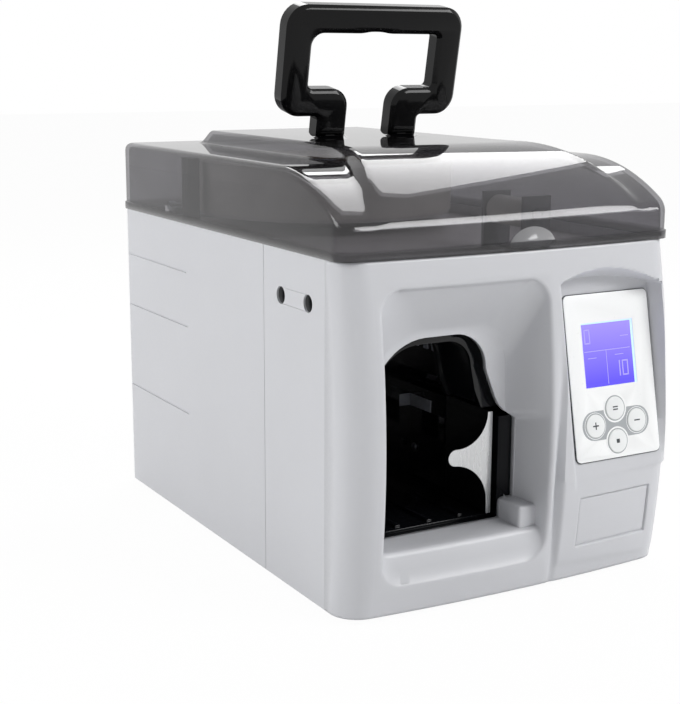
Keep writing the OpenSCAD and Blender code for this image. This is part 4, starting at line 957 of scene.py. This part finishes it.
@dataclass
class Fittings:
    """Side wells with their screws and a dark liner of painted shade in each, and the moulded step in the
    pocket's lower corner.
    """

    wells: tuple[float, ...] = (-72.8, -102.5)
    well_z: float = 160.4
    well_x: float = 95.0
    step_low: Point = (3.5, -140.5, 30.0)
    step_high: Point = (15.6, -122.0, 47.0)

    def places(self, out: float) -> list[tuple[int, Matrix]]:
        """Side and place of each well's axis, moved out by a distance."""
        return [(side, Matrix.Translation((side * (self.well_x + out), y, self.well_z)))
                for side in (-1, 1) for y in self.wells]

    def build(self) -> None:
        """Builds a dark liner in each well as painted shade, the screw heads with their recess, and the step.
        """
        across = Matrix.Rotation(math.pi / 2, 4, "Y")
        # Painted shade: a black sleeve in each well stands in for the shade inside the hole.
        bm = bmesh.new()
        for _, place in self.places(4.2):
            bmesh.ops.create_cone(bm, cap_ends=False, segments=40, radius1=4.6, radius2=4.6, depth=7.6,
                                  matrix=place @ across)
        bmesh.ops.reverse_faces(bm, faces=bm.faces)
        finished(bm, "well_shades", "case", SATIN_BLACK_AND_SHADE, wall=0.1)
        bm = bmesh.new()
        for side, place in self.places(0.8):
            turn = place @ across
            if side < 0:
                turn = turn @ Matrix.Rotation(math.pi, 4, "X")
            head = bmesh.ops.create_cone(bm, cap_ends=True, segments=32, radius1=3.6, radius2=3.0,
                                         depth=1.6, matrix=turn)["verts"]
            caps = [f for f in faces_of(head) if len(f.verts) > 4 and f.normal.x * side > 0.9]
            bmesh.ops.inset_region(bm, faces=caps, thickness=1.6, depth=-0.9)
        finished(bm, "well_screws", "case", SLOT_FINISHES["screw_steel"], ("side_screws",))
        bm = bmesh.new()
        bevel(bm, edges_of(block(bm, self.step_low, self.step_high)), 1.8, 4)
        finished(bm, "pocket_step", "case", HOUSING)


@dataclass
class Anvil:
    """Polished T-shaped anvil whose flanks are painted dark as shade; the arm behind it is in the same CAD
    shape.
    """

    edge: float = 0.35
    front: float = -0.4

    def build(self) -> None:
        """Rounds the CAD shape's edges; faces whose normal points forward past a limit are polished, the rest
        get the dark steel of painted shade.
        """
        bm = cad_shape("tape_anvil")
        bevel(bm, crisp_edges(bm, 50.0), self.edge)
        bmesh.ops.recalc_face_normals(bm, faces=bm.faces)
        # Painted shade: faces turned away from the front take the dark steel.
        for face in bm.faces:
            face.material_index = 0 if face.normal.y < self.front else 1
        plate = finished(bm, "anvil_plate", "anvil", POLISHED, ("tape_anvil",), sharp=30.0)
        plate.data.materials.append(FLANK_SHADE_STEEL.material())


# --- lid and handle ---


@dataclass
class Lid:
    """Smoked lid: rounded shoulders, raised middle that flares to the front, and a rim lip."""

    half: float = 105.0
    inset: float = 0.8
    front: float = -141.6
    back: float = 152.0
    rim_z: float = 185.0
    lip_z: float = 189.4
    top: float = 227.0
    platform: float = 235.0
    corner: float = 8.0
    shoulder: float = 4.5
    arc_y: float = -68.0
    arc_r: float = 120.0
    platform_arc_y: float = -62.0
    platform_half: float = 60.0
    flare: float = 24.0
    platform_back: float = 126.0
    bow: float = 4.9
    wall: float = 2.4
    thumb_radius: float = 14.6
    thumb_x: float = 6.6
    thumb_z: float = 186.2

    def fall(self, y: float, start: float, radius: float, top: float) -> float:
        """Height of a flat top that falls on an arc to the front."""
        past = max(0.0, start - y)
        return top - radius + math.sqrt(max(0.0, radius ** 2 - past ** 2))

    def height(self, x: float, y: float) -> float:
        """Height of the lid's skin before its shoulders are rounded.

        Args:
            x: place across the lid.
            y: place along it.

        Returns:
            The height.
        """
        base = self.fall(y, self.arc_y, self.arc_r, self.top)
        run_in = self.platform_arc_y - self.front
        drop = self.platform - self.fall(self.front, self.arc_y, self.arc_r, self.top)
        radius = (run_in ** 2 + drop ** 2) / (2 * drop)
        raised = self.fall(y, self.platform_arc_y, radius, self.platform)
        half = self.platform_half + self.flare * smooth(-36.0, -150.0, y)
        inside = smooth(-2.5, 6.0, half - abs(x)) * smooth(-2.0, 7.0, self.platform_back - y)
        return base + max(0.0, raised - base) * inside

    def spot(self, x: float, y: float) -> Point:
        """Puts a grid vertex on the lid: rounds the plan's corners, bows the front, rounds the shoulder.

        Args:
            x: the vertex's place across a plain rectangle.
            y: its place along the rectangle.

        Returns:
            Its place on the lid.
        """
        half, r = self.half - self.inset, self.corner
        front, back = self.front + self.inset, self.back - self.inset
        px, qy = abs(x) - (half - r), max(y - (back - r), (front + r) - y)
        edge = min(half - abs(x), back - y, y - front)
        if px > 0 and qy > 0:
            reach, length = max(px, qy), math.hypot(px, qy)
            nx = half - r + px * reach / length
            shift = qy * reach / length
            x = math.copysign(nx, x)
            y = back - r + shift if y > 0 else front + r - shift
            edge = r - reach
        z = self.height(x, y)
        if edge < self.shoulder:
            z -= self.shoulder - math.sqrt(max(0.0, self.shoulder ** 2 - (self.shoulder - edge) ** 2))
        y += self.bow * (x / half) ** 2 * (1 - smooth(front, 40.0, y))
        return x, y, z

    def build(self) -> None:
        """Builds the skin, the wall down to the lip, and the thumb scoop."""
        half = self.half - self.inset
        near = [0.0, 0.25, 0.8, 1.7, 3.0, 4.5, 6.2, 8.0]
        middle = spaced((0.0, 3.0), (50.0, 1.2), (70.0, 2.2), (half - 8.0, 0))
        side = middle + [half - n for n in reversed(near[:-1])]
        across = [-x for x in reversed(side[1:])] + side
        front, back = self.front + self.inset, self.back - self.inset
        along = [front + n for n in near] + spaced(
            (front + 8.0, 2.4), (-60.0, 4.0), (112.0, 1.4), (132.0, 2.4), (back - 8.0, 0))[1:] + [
            back - n for n in reversed(near[:-1])]
        bm = bmesh.new()
        lattice(bm, across, along, self.spot)
        edges = [e for e in bm.edges if e.is_boundary]
        edges = grown(bm, edges, lambda co: (co.x, co.y, self.lip_z + 0.5))
        lip = grown(bm, edges, lambda co: self.out(co, self.lip_z))
        grown(bm, lip, lambda co: self.out(co, self.rim_z, 0.0))
        for face in bm.faces:
            face.material_index = 1 if face.calc_center_median().z < self.lip_z + 0.2 else 0
        lid = finished(bm, "smoked_lid", "lid_body", SMOKE, ("lid",), sharp=38.0, wall=self.wall)
        lid.data.materials.append(RIM_SMOKE.material())
        self.build_thumb()

    def out(self, co: Vector, z: float, step: float = 0.75) -> Point:
        """Moves a wall vertex out to the rim lip.

        Args:
            co: the vertex's place.
            z: its new height.
            step: how far it moves out.

        Returns:
            The new place.
        """
        middle = Vector((0.0, (self.front + self.back) / 2))
        away = Vector((co.x, co.y)) - middle
        scale_x = 1 + step / (self.half - self.inset)
        scale_y = 1 + step / ((self.back - self.front) / 2)
        return middle.x + away.x * scale_x, middle.y + away.y * scale_y, z

    def build_thumb(self) -> None:
        """Half-moon scoop in the lid's front rim."""
        bm = bmesh.new()
        made = bmesh.ops.create_circle(bm, cap_ends=True, segments=48, radius=self.thumb_radius)
        upright = Matrix.Rotation(math.pi / 2, 3, "X")
        bmesh.ops.rotate(bm, verts=made["verts"], cent=(0, 0, 0), matrix=upright)
        bmesh.ops.scale(bm, vec=(1, 1, 0.62), verts=bm.verts)
        bmesh.ops.bisect_plane(bm, geom=[*bm.verts, *bm.edges, *bm.faces], plane_co=(0, 0, 0),
                               plane_no=(0, 0, -1), clear_outer=True)
        bmesh.ops.scale(bm, vec=(1, 1, 1.15), verts=bm.verts)
        bmesh.ops.translate(bm, vec=(self.thumb_x, self.front - 0.9, self.thumb_z), verts=bm.verts)
        faces = bmesh.ops.inset_region(bm, faces=bm.faces[:], thickness=1.0, depth=0.0)
        LOG.info("thumb scoop inset: %d", len(faces["faces"]))
        inner = max(bm.faces, key=lambda f: f.calc_area())
        bmesh.ops.translate(bm, vec=(0, 2.0, 0.6), verts=list(inner.verts))
        finished(bm, "thumb_scoop", "lid_body", FROSTED, wall=0.5)


@dataclass
class Handle:
    """Carry handle: one bent bar of square section with chamfered edges."""

    half: float = 59.5
    bar: float = 17.0
    depth: float = 13.8
    shift: float = -1.3
    low: float = 4.3
    top: float = 68.4
    shelf: float = 20.3
    foot_in: float = 15.1
    foot_out: float = 34.5
    foot_low: float = -8.6
    lean: float = 11.0
    pivot: Point = (0.0, 21.0, 244.6)
    chamfer: float = 2.7
    foot_round: float = 6.5
    seat_radius: float = 9.75
    seat_drop: float = 10.4

    def build(self) -> None:
        """Draws the outline with its bends, thickens it, chamfers it and leans it forward."""
        inner = self.half - self.bar
        grip = self.top - self.bar + 1
        right = [
            (self.foot_in, self.foot_low, 0.0), (self.foot_out, self.foot_low, 0.0),
            (self.foot_out, self.low, 2.5), (self.half, self.low, 12.0), (self.half, self.top, 13.0)]
        inside = [(inner, grip, 4.0), (inner, self.shelf, 3.0), (self.foot_in, self.shelf, 11.0)]
        wave = [(9.0, grip, 4.0), (4.0, grip + 1.0, 4.0), (-4.0, grip + 1.0, 4.0), (-9.0, grip, 4.0)]
        ring = (right + [(-x, z, r) for x, z, r in reversed(right)]
                + [(-x, z, r if r != 4.0 else 8.0) for x, z, r in reversed(inside)]
                + [(-x, z, r) for x, z, r in wave] + inside)
        bm = bmesh.new()
        deep = self.depth / 2 - self.chamfer
        corners = [(bm.verts.new((x, deep, z)), r) for x, z, r in ring]
        bm.faces.new([v for v, _ in corners])
        for radius in sorted({r for _, r in corners if r}):
            verts = [v for v, r in corners if r == radius and v.is_valid]
            bmesh.ops.bevel(bm, geom=verts, offset=radius, offset_type="OFFSET", segments=8, profile=0.5,
                            affect="VERTICES", clamp_overlap=True, material=-1)
        thickened(bm, bm.faces[:], (0, -2 * deep, 0))
        bmesh.ops.recalc_face_normals(bm, faces=bm.faces)
        for step in (self.chamfer - 0.4, 0.4):
            flats = [f for f in bm.faces if len(f.verts) > 20]
            bmesh.ops.inset_region(bm, faces=flats, thickness=step, depth=step if step > 1 else 0.12,
                                   use_even_offset=True)
        self.round_feet(bm)
        bmesh.ops.translate(bm, vec=(0, self.shift, 0), verts=bm.verts)
        tilt = Matrix.Translation(self.pivot) @ Matrix.Rotation(math.radians(self.lean), 4, "X")
        bmesh.ops.transform(bm, matrix=tilt, verts=bm.verts)
        finished(bm, "carry_handle", "handle_body", NYLON, ("handle",), sharp=32.0)
        self.build_cradles()

    def round_feet(self, bm: bmesh.types.BMesh) -> None:
        """Rounds the feet about the pivot so that they clear the lid when the handle folds back.

        Args:
            bm: the upright handle.
        """
        reach = self.foot_round
        start = self.foot_low + reach
        for i in range(7):
            cut = (0, 0, start - reach * math.sin(i * math.pi / 13))
            bmesh.ops.bisect_plane(bm, geom=[*bm.verts, *bm.edges, *bm.faces], plane_co=cut,
                                   plane_no=(0, 0, 1))
        for v in bm.verts:
            if v.co.z < start:
                half = self.depth / 2 - reach + math.sqrt(max(0.0, reach ** 2 - (start - v.co.z) ** 2))
                v.co.y = max(-half, min(half, v.co.y))

    def build_cradles(self) -> None:
        """Black seats on the lid that the handle's feet turn in, open to the back."""
        bm = bmesh.new()
        _, y, z = self.pivot
        for side in (-1, 1):
            middle = side * (self.foot_in + self.foot_out) / 2
            half = (self.foot_out - self.foot_in) / 2 + 0.2
            near = middle - half
            made = bmesh.ops.create_circle(bm, cap_ends=False, segments=48, radius=self.seat_radius)["verts"]
            bmesh.ops.rotate(bm, verts=made, cent=(0, 0, 0), matrix=Matrix.Rotation(math.pi / 2, 3, "Y"))
            bmesh.ops.translate(bm, vec=(near, y, z), verts=made)
            gone = [v for v in made if v.co.z > z - 8.2 or v.co.y > y + 1.0]
            bmesh.ops.delete(bm, geom=gone, context="VERTS")
            arch = [e for e in bm.edges if e.is_wire]
            for v in vertices(bmesh.ops.extrude_edge_only(bm, edges=arch)["geom"]):
                v.co.y, v.co.z = y - 11.0 + (v.co.y - y + 5.3) * 1.25, z - self.seat_drop
            thickened(bm, [f for f in bm.faces if abs(f.calc_center_median().x - near) < 0.01],
                      (2 * half, 0, 0))
            plate = block(bm, (near - 5.0, y - 18.0, z - self.seat_drop),
                          (middle + half + 5.0, y + 15.0, z - 9.8))
            bevel(bm, [e for e in edges_of(plate) if abs(e.verts[0].co.z - e.verts[1].co.z) > 0.1], 5.0, 6)
        finished(bm, "handle_seats", "lid_body", NYLON)


# --- control panel ---


@dataclass(frozen=True)
class Button:
    """One push button: its body, CAD node, place on the panel, printed ring and the bars of its sign."""

    body: str
    node: str
    x: float
    z: float
    ring: float
    sign: tuple[tuple[float, float, float, float], ...]


@dataclass
class Panel:
    """Control panel: film with a dark border of painted shade, display with plain figures, and four buttons
    with plain signs and painted shade round them.
    """

    place: Point = PANEL_FOOT
    lean: float = PANEL_LEAN
    width: float = 58.0
    length: float = 90.0
    thick: float = 1.2
    # width of the dark border round the film, painted shade of its groove
    outline: float = 0.45
    lcd: tuple[float, float, float, float] = (-18.6, 17.0, 39.4, 74.4)
    # radii of the grey ring round each cap, painted shade of the gap round the button
    gap: tuple[float, float] = (6.48, 6.95)
    grey: tuple[float, float, float, float] = (-23.6, 22.6, 18.7, 7.95)
    buttons: tuple[Button, ...] = (
        Button("key_upper", "button_upper", -0.5, 26.9, 7.9,
               ((-1.7, 0.35, 1.7, 1.05), (-1.7, -1.05, 1.7, -0.35))),
        Button("key_lower", "button_lower", -0.5, 8.9, 7.9, ((-1.1, -1.1, 1.1, 1.1),)),
        Button("key_left", "button_left", -14.9, 18.7, 7.3,
               ((-2.0, -0.35, 2.0, 0.35), (-0.35, -2.0, 0.35, 2.0))),
        Button("key_right", "button_right", 13.9, 18.7, 7.3, ((-2.0, -0.35, 2.0, 0.35),)))

    def settled(self, bm: bmesh.types.BMesh, name: str, finish: Finish, body: str = "case") -> None:
        """Moves a shape from the panel's own frame to its place and makes it a piece.

        Args:
            bm: the shape, in millimetres from the panel's foot.
            name: the piece's name.
            finish: its material.
            body: the CAD body that carries it.
        """
        tilt = Matrix.Translation(self.place) @ Matrix.Rotation(math.radians(-self.lean), 4, "X")
        bmesh.ops.transform(bm, matrix=tilt, verts=bm.verts)
        finished(bm, name, body, finish)

    def build(self) -> None:
        """Builds every part of the panel."""
        half, past = self.width / 2, self.outline
        # Painted shade: a dark plate a little larger than the film stands in for the shade in its groove.
        bm = bmesh.new()
        plate = block(bm, (-half - past, 0.5, -past), (half + past, self.thick, self.length + past))
        bevel(bm, [e for e in edges_of(plate) if abs(e.verts[0].co.y - e.verts[1].co.y) > 0.01], 3.2, 6)
        self.settled(bm, "panel_outline", DARK_INK_AND_GAP_SHADE)
        bm = cad_shape("panel_plate")
        bevel(bm, crisp_edges(bm, 60.0), 0.25)
        finished(bm, "panel_film", "case", FILM, ("panel_plate",))
        bm = bmesh.new()
        self.band(bm)
        self.settled(bm, "button_band", INK)
        inner, outer = self.gap
        bm = bmesh.new()
        for button in self.buttons:
            hoop(bm, (button.x, -0.12, button.z), 6.9, button.ring, 0.3)
        self.settled(bm, "button_rings", FILM)
        # Painted shade: a thin grey ring round each cap stands in for the shade in its gap.
        bm = bmesh.new()
        for button in self.buttons:
            hoop(bm, (button.x, -0.16, button.z), inner, outer, 0.34)
        self.settled(bm, "button_gaps", INK)
        self.build_buttons()
        self.build_display()

    def band(self, bm: bmesh.types.BMesh) -> None:
        """Adds the grey band round the buttons, with a hole for each of them.

        Args:
            bm: the shape that takes it, in the panel's own frame.
        """
        x0, x1, z, r = self.grey
        middle, half = (x0 + x1) / 2, (x1 - x0) / 2
        hole = self.gap[1]

        def place(u: float, v: float) -> Point:
            """Draws the ends of a row in to the band's round ends."""
            end = half - r + math.sqrt(max(0.0, r * r - v * v))
            return middle + u * end / half, -0.06, z + v

        def holed(at: Vector) -> bool:
            """Whether a place lies in a button's hole."""
            return any(math.hypot(at.x - button.x, at.z - button.z) < hole for button in self.buttons)

        lattice(bm, spaced((-half, 0.45), (half, 0)), spaced((-r, 0.45), (r, 0)), place)
        gone = [f for f in bm.faces if holed(f.calc_center_median())]
        bmesh.ops.delete(bm, geom=gone, context="FACES")
        thickened(bm, bm.faces[:], (0, 0.3, 0))

    def build_buttons(self) -> None:
        """Round caps with a soft edge, and a plain sign on each."""
        for button in self.buttons:
            bm = cad_shape(button.node)
            bevel(bm, crisp_edges(bm, 60.0), 0.5, 3)
            finished(bm, "cap_" + button.body, button.body, BUTTON, (button.node,))
            bm = bmesh.new()
            for x0, z0, x1, z1 in button.sign:
                block(bm, (button.x + x0, -0.64, button.z + z0), (button.x + x1, -0.5, button.z + z1))
            self.settled(bm, "sign_" + button.body, DARK_INK_AND_GAP_SHADE, button.body)

    def digit(self, bm: bmesh.types.BMesh, x: float, z: float, high: float, lit: str) -> None:
        """Adds a plain seven-segment figure.

        Args:
            bm: the shape that takes it, in the panel's own frame.
            x: its left edge.
            z: its foot.
            high: its height.
            lit: its segments, named a to g as usual.
        """
        w, h, t = high * 0.5, high / 2, high * 0.09
        bars = {"a": (0, 2 * h - t, w, 2 * h), "b": (w - t, h, w, 2 * h), "c": (w - t, 0, w, h),
                "d": (0, 0, w, t), "e": (0, 0, t, h), "f": (0, h, t, 2 * h),
                "g": (0, h - t / 2, w, h + t / 2)}
        for name in lit:
            x0, z0, x1, z1 = bars[name]
            block(bm, (x + x0, 0.3, z + z0), (x + x1, 0.42, z + z1))

    def build_display(self) -> None:
        """Lit field, its bright edge, dividing lines and two plain numbers."""
        x0, x1, z0, z1 = self.lcd
        bm = cad_shape("display_module")
        finished(bm, "display_field", "case", DISPLAY, ("display_module",))
        bm = bmesh.new()
        block(bm, (x1 - 1.5, 0.3, z0), (x1, 0.45, z1))
        block(bm, (x0, 0.3, z1 - 0.7), (x1, 0.45, z1))
        self.settled(bm, "display_bright_edge", EDGE_LIGHT)
        bm = bmesh.new()
        self.digit(bm, x0 + 1.6, 63.0, 8.0, "abcdef")
        self.digit(bm, 2.0, 44.0, 8.5, "bc")
        self.digit(bm, 7.6, 44.0, 8.5, "abcdef")
        split_z, split_x = 58.7, -2.9
        bars = ((x0 + 1, split_z, x1 - 3, 59.1), (split_x, z0 + 1, -2.5, split_z), (3.2, 55.6, 9.2, 56.0),
                (x0 + 3, 55.0, x0 + 9, 55.4), (8.0, 65.5, 13.5, 65.9))
        for left, low, right, high in bars:
            block(bm, (left, 0.33, low), (right, 0.42, high))
        self.settled(bm, "display_figures", SEGMENT)


# --- what the lid and the slot show ---


@dataclass
class Inside:
    """What the slot and the lid show: pale ribs and a pale patch in the slot as painted reflection, a screw, a
    dark block of painted shade beside the roll, and softened CAD nodes.
    """

    # rows and arcs of pale ribs in the slot, whose paleness is painted reflection
    rib_rows: tuple[float, ...] = (-73.0, -65.0, -55.0, -43.0)
    rib_arcs: tuple[tuple[float, float, float, float], ...] = (
        (-46.0, 109.0, 31.9, 180.0), (-28.0, 121.0, 19.9, 90.0))
    rib_size: Point = (0.7, 1.6, 1.0)
    # corners of a pale patch in the slot: painted reflection
    window: tuple[tuple[Point, Point], ...] = (
        ((-5.0, -32.8, 79.8), (3.0, -32.1, 87.0)), ((2.3, -54.5, 79.8), (3.1, -32.5, 87.0)))
    screw: Point = (2.3, -38.0, 55.6)
    # corners of a dark block beside the roll: painted shade of the gap there
    post: tuple[Point, Point] = ((-95.0, 66.0, 184.0), (-87.0, 76.0, 222.0))
    rounded: tuple[tuple[str, str, float], ...] = (
        ("guide_arch", "case", 0.5), ("note_table", "case", 0.5), ("twist_guide", "case", 0.4),
        ("guide_roller", "turn_roller", 0.6), ("handle_lugs", "lid_body", 0.5), ("roll_core", "roll", 0.3),
        ("feet", "case", 0.8), ("power_rocker", "rocker", 0.4))

    def build(self) -> None:
        """Builds the pieces in the slot, then those under the lid."""
        self.build_ribs()
        # Painted reflection: a pale grey patch on the slot's back wall stands in for a glint.
        bm = bmesh.new()
        for low, high in self.window:
            bevel(bm, edges_of(block(bm, low, high)), 0.15)
        finished(bm, "slot_window", "case", GLINT_GREY)
        bm = bmesh.new()
        turn = Matrix.Translation(self.screw) @ Matrix.Rotation(math.pi / 2, 4, "Y")
        bmesh.ops.create_cone(bm, cap_ends=True, segments=32, radius1=2.2, radius2=2.2, depth=1.6,
                              matrix=turn)
        bevel(bm, crisp_edges(bm), 0.5)
        finished(bm, "slot_screw", "case", SLOT_FINISHES["screw_steel"])
        # Painted shade: a dark block stands in for the shade in the gap beside the roll under the lid.
        bm = bmesh.new()
        bevel(bm, edges_of(block(bm, *self.post)), 0.8)
        finished(bm, "roll_stop_post", "case", SATIN_BLACK_AND_SHADE)
        self.build_softened()

    def build_ribs(self) -> None:
        """Bends a flat pale strip along the arch's two corners, once in each row; their paleness is painted
        reflection.
        """
        bm = bmesh.new()
        for y in self.rib_rows:
            for x, z, radius, start in self.rib_arcs:
                made = bmesh.ops.create_grid(bm, x_segments=1, y_segments=1, size=1.0)["verts"]
                bmesh.ops.scale(bm, vec=self.rib_size, verts=made)
                turn = Matrix.Rotation(-math.radians(start), 4, "Y") @ Matrix.Translation((radius, 0, 0))
                bmesh.ops.transform(bm, matrix=Matrix.Translation((x, y, z)) @ turn, verts=made)
                bmesh.ops.spin(bm, geom=[*made, *edges_of(made), *faces_of(made)], cent=(x, y, z),
                               axis=(0, 1, 0), angle=math.radians(90), steps=16, use_merge=False)
        finished(bm, "arch_ribs", "case", GLINT_GREY)

    def build_softened(self) -> None:
        """Rounds the edges of the listed nodes."""
        finish = {part["node"]: SLOT_FINISHES[part["material_slot"]] for part in frame["record"]["subparts"]}
        finish["twist_guide"] = GUIDE
        for node, body, width in self.rounded:
            softened(node, body, finish[node], width)


@dataclass
class Springs:
    """Three return springs of round wire, closed at both ends, that the slides press together."""

    rows: tuple[float, ...] = (-107.0, -98.0, -89.0)
    start: float = 53.3
    length: float = 15.4
    height: float = 72.0
    radius: float = 3.4
    wire: float = 1.0
    steps: int = 20
    stop: float = 52.3
    kept: float = 0.54

    def build(self) -> None:
        """Winds each spring: one close turn, four open turns, one close turn."""
        bm = bmesh.new()
        close = self.wire * 1.05
        pitch = (self.length - self.wire - 2 * close) / 4
        for y in self.rows:
            made = bmesh.ops.create_circle(bm, segments=10, radius=self.wire / 2)["verts"]
            place = Matrix.Translation((self.start + self.wire / 2, y, self.height + self.radius))
            turn = Matrix.Rotation(math.pi / 2, 4, "Y") @ Matrix.Rotation(math.pi / 2, 4, "X")
            bmesh.ops.transform(bm, matrix=place @ turn, verts=made)
            geom = [*made, *edges_of(made)]
            for turns, rise in ((1, close), (4, pitch), (1, close)):
                count = self.steps * turns
                geom = bmesh.ops.spin(bm, geom=geom, cent=(0, y, self.height), axis=(1, 0, 0),
                                      dvec=(rise * turns / count, 0, 0), angle=2 * math.pi * turns,
                                      steps=count)["geom_last"]
        bmesh.ops.holes_fill(bm, edges=[e for e in bm.edges if e.is_boundary], sides=0)
        springs = finished(bm, "return_springs", "case", SLOT_FINISHES["spring_steel"], ("slide_springs",))
        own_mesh(springs)


def dress_frame() -> None:
    """Gives every CAD node the finish of its slot."""
    for part in frame["record"]["subparts"]:
        mesh = frame["nodes"][part["node"]].data
        mesh.materials.clear()
        mesh.materials.append(SLOT_FINISHES[part["material_slot"]].material())


# --- studio ---


@dataclass(frozen=True)
class Lamp:
    """Soft rectangular lamp: its place, the point it looks at, its sides in metres and its watts."""

    name: str
    place: Point
    aim: Point
    size: tuple[float, float]
    power: float


@dataclass
class Studio:
    """Plain pale floor, soft lamps and the camera at the photograph's angle; lengths in metres."""

    eye: Point = (-0.4324, -0.7126, 0.2824)
    right: Point = (0.86953192, -0.49386466, 0.00345677)
    up: Point = (0.09943145, 0.18191319, 0.97827449)
    back: Point = (-0.48376403, -0.85029718, 0.20728501)
    lens: float = 71.547
    sensor: float = 36.0
    near: float = 0.01
    far: float = 50.0
    floor_half: float = 6.0
    floor_white: float = 0.97
    room_low: float = 0.37
    room_high: float = 0.23
    lamps: tuple[Lamp, ...] = (
        Lamp("side_softbox", (-1.8, 0.35, 0.9), (0, 0, 0.1), (1.2, 1.0), 19.5),
        Lamp("front_softbox", (1.3, -1.5, 1.55), (0, 0, 0.1), (1.6, 0.8), 39.0),
        Lamp("rear_softbox", (0.45, 0.6, 1.05), (0, 0, 0.2), (0.8, 0.8), 9.0))

    def camera(self) -> None:
        """Sets the camera that was fitted to the photograph's edges."""
        data = bpy.data.cameras.new("photo_camera")
        data.lens, data.sensor_width, data.sensor_fit = self.lens, self.sensor, "AUTO"
        data.clip_start, data.clip_end = self.near, self.far
        camera = bpy.data.objects.new("photo_camera", data)
        bpy.context.scene.collection.objects.link(camera)
        turn = Matrix((self.right, self.up, self.back)).transposed().to_4x4()
        camera.matrix_world = Matrix.Translation(self.eye) @ turn
        bpy.context.scene.camera = camera

    def hang(self, lamp: Lamp) -> None:
        """Adds one lamp.

        Args:
            lamp: its place, aim, size and power.
        """
        data = bpy.data.lights.new(lamp.name, "AREA")
        data.shape, data.energy = "RECTANGLE", lamp.power
        data.size, data.size_y = lamp.size
        made = bpy.data.objects.new(lamp.name, data)
        bpy.context.scene.collection.objects.link(made)
        made.location = lamp.place
        made.rotation_euler = (Vector(lamp.aim) - Vector(lamp.place)).to_track_quat("-Z", "Y").to_euler()

    def seen(self, tree: bpy.types.NodeTree, path: bpy.types.Node) -> bpy.types.NodeSocket:
        """Tells rays of the camera, of reflections and through clear parts from the rest.

        Args:
            tree: the node tree.
            path: its light path node.

        Returns:
            An output that is 1 for those rays and 0 for the rest.
        """
        rays = path.outputs
        first = add(tree, "Math", {0: rays["Is Camera Ray"], 1: rays["Is Transmission Ray"]},
                    operation="MAXIMUM")
        both = add(tree, "Math", {0: first.outputs[0], 1: rays["Is Glossy Ray"]}, operation="MAXIMUM")
        return both.outputs[0]

    def floor(self) -> None:
        """Adds the pale floor, which stays near white to the camera and keeps a soft shadow."""
        made, tree = blank_material("pale_floor")
        place = add(tree, "TexCoord").outputs["Object"]
        speck = add(tree, "TexNoise", {"Vector": place}, {"Scale": 3.0, "Detail": 2.0})
        tone = add(tree, "MapRange", {"Value": speck.outputs[0]}, {"To Min": 0.93, "To Max": 0.96})
        matt = add(tree, "BsdfDiffuse", {"Color": tone.outputs[0]})
        lit = add(tree, "Emission", None, {"Color": (1, 1, 1, 1), "Strength": 1.0})
        path = add(tree, "LightPath")
        seen = self.seen(tree, path)
        share = add(tree, "Math", {0: seen}, {1: self.floor_white}, operation="MULTIPLY")
        mixed = add(tree, "MixShader", {0: share.outputs[0], 1: matt.outputs[0], 2: lit.outputs[0]})
        add(tree, "OutputMaterial", {"Surface": mixed.outputs[0]})
        bm = bmesh.new()
        bmesh.ops.create_grid(bm, x_segments=4, y_segments=4, size=self.floor_half)
        mesh = bpy.data.meshes.new("floor")
        bm.to_mesh(mesh)
        bm.free()
        mesh.materials.append(made)
        floor = bpy.data.objects.new("floor", mesh)
        bpy.context.scene.collection.objects.link(floor)

    def world(self) -> None:
        """White to the camera, through the lid and to reflections; a soft grey room for light."""
        world = bpy.data.worlds.new("studio")
        bpy.context.scene.world = world
        world.use_nodes = True
        tree = world.node_tree
        tree.nodes.clear()
        path = add(tree, "LightPath")
        seen = self.seen(tree, path)
        place = add(tree, "TexCoord").outputs["Generated"]
        axes = add(tree, "SeparateXYZ", {0: place})
        fade = add(tree, "MapRange", {"Value": axes.outputs["Z"]},
                   {"From Min": -0.1, "From Max": 0.6, "To Min": self.room_low, "To Max": self.room_high})
        level = add(tree, "Math", {0: seen, 1: fade.outputs[0]}, operation="MAXIMUM")
        glow = add(tree, "Background", {"Strength": level.outputs[0]}, {"Color": (1, 1, 1, 1)})
        add(tree, "OutputWorld", {"Surface": glow.outputs[0]})

    def build(self) -> None:
        """Sets the whole studio."""
        bpy.context.scene.view_settings.view_transform = "Standard"
        self.camera()
        self.floor()
        self.world()
        for lamp in self.lamps:
            self.hang(lamp)


def main() -> None:
    """Builds the machine's pieces in order, then the studio."""
    logging.basicConfig(level=logging.INFO)
    dress_frame()
    for part in (FrontShell(), Fittings(), Anvil(), Lid(), Handle(), Panel(), Inside(), Springs()):
        LOG.info("building %s", type(part).__name__)
        part.build()
    Studio().build()


if __name__ == "__main__":
    main()
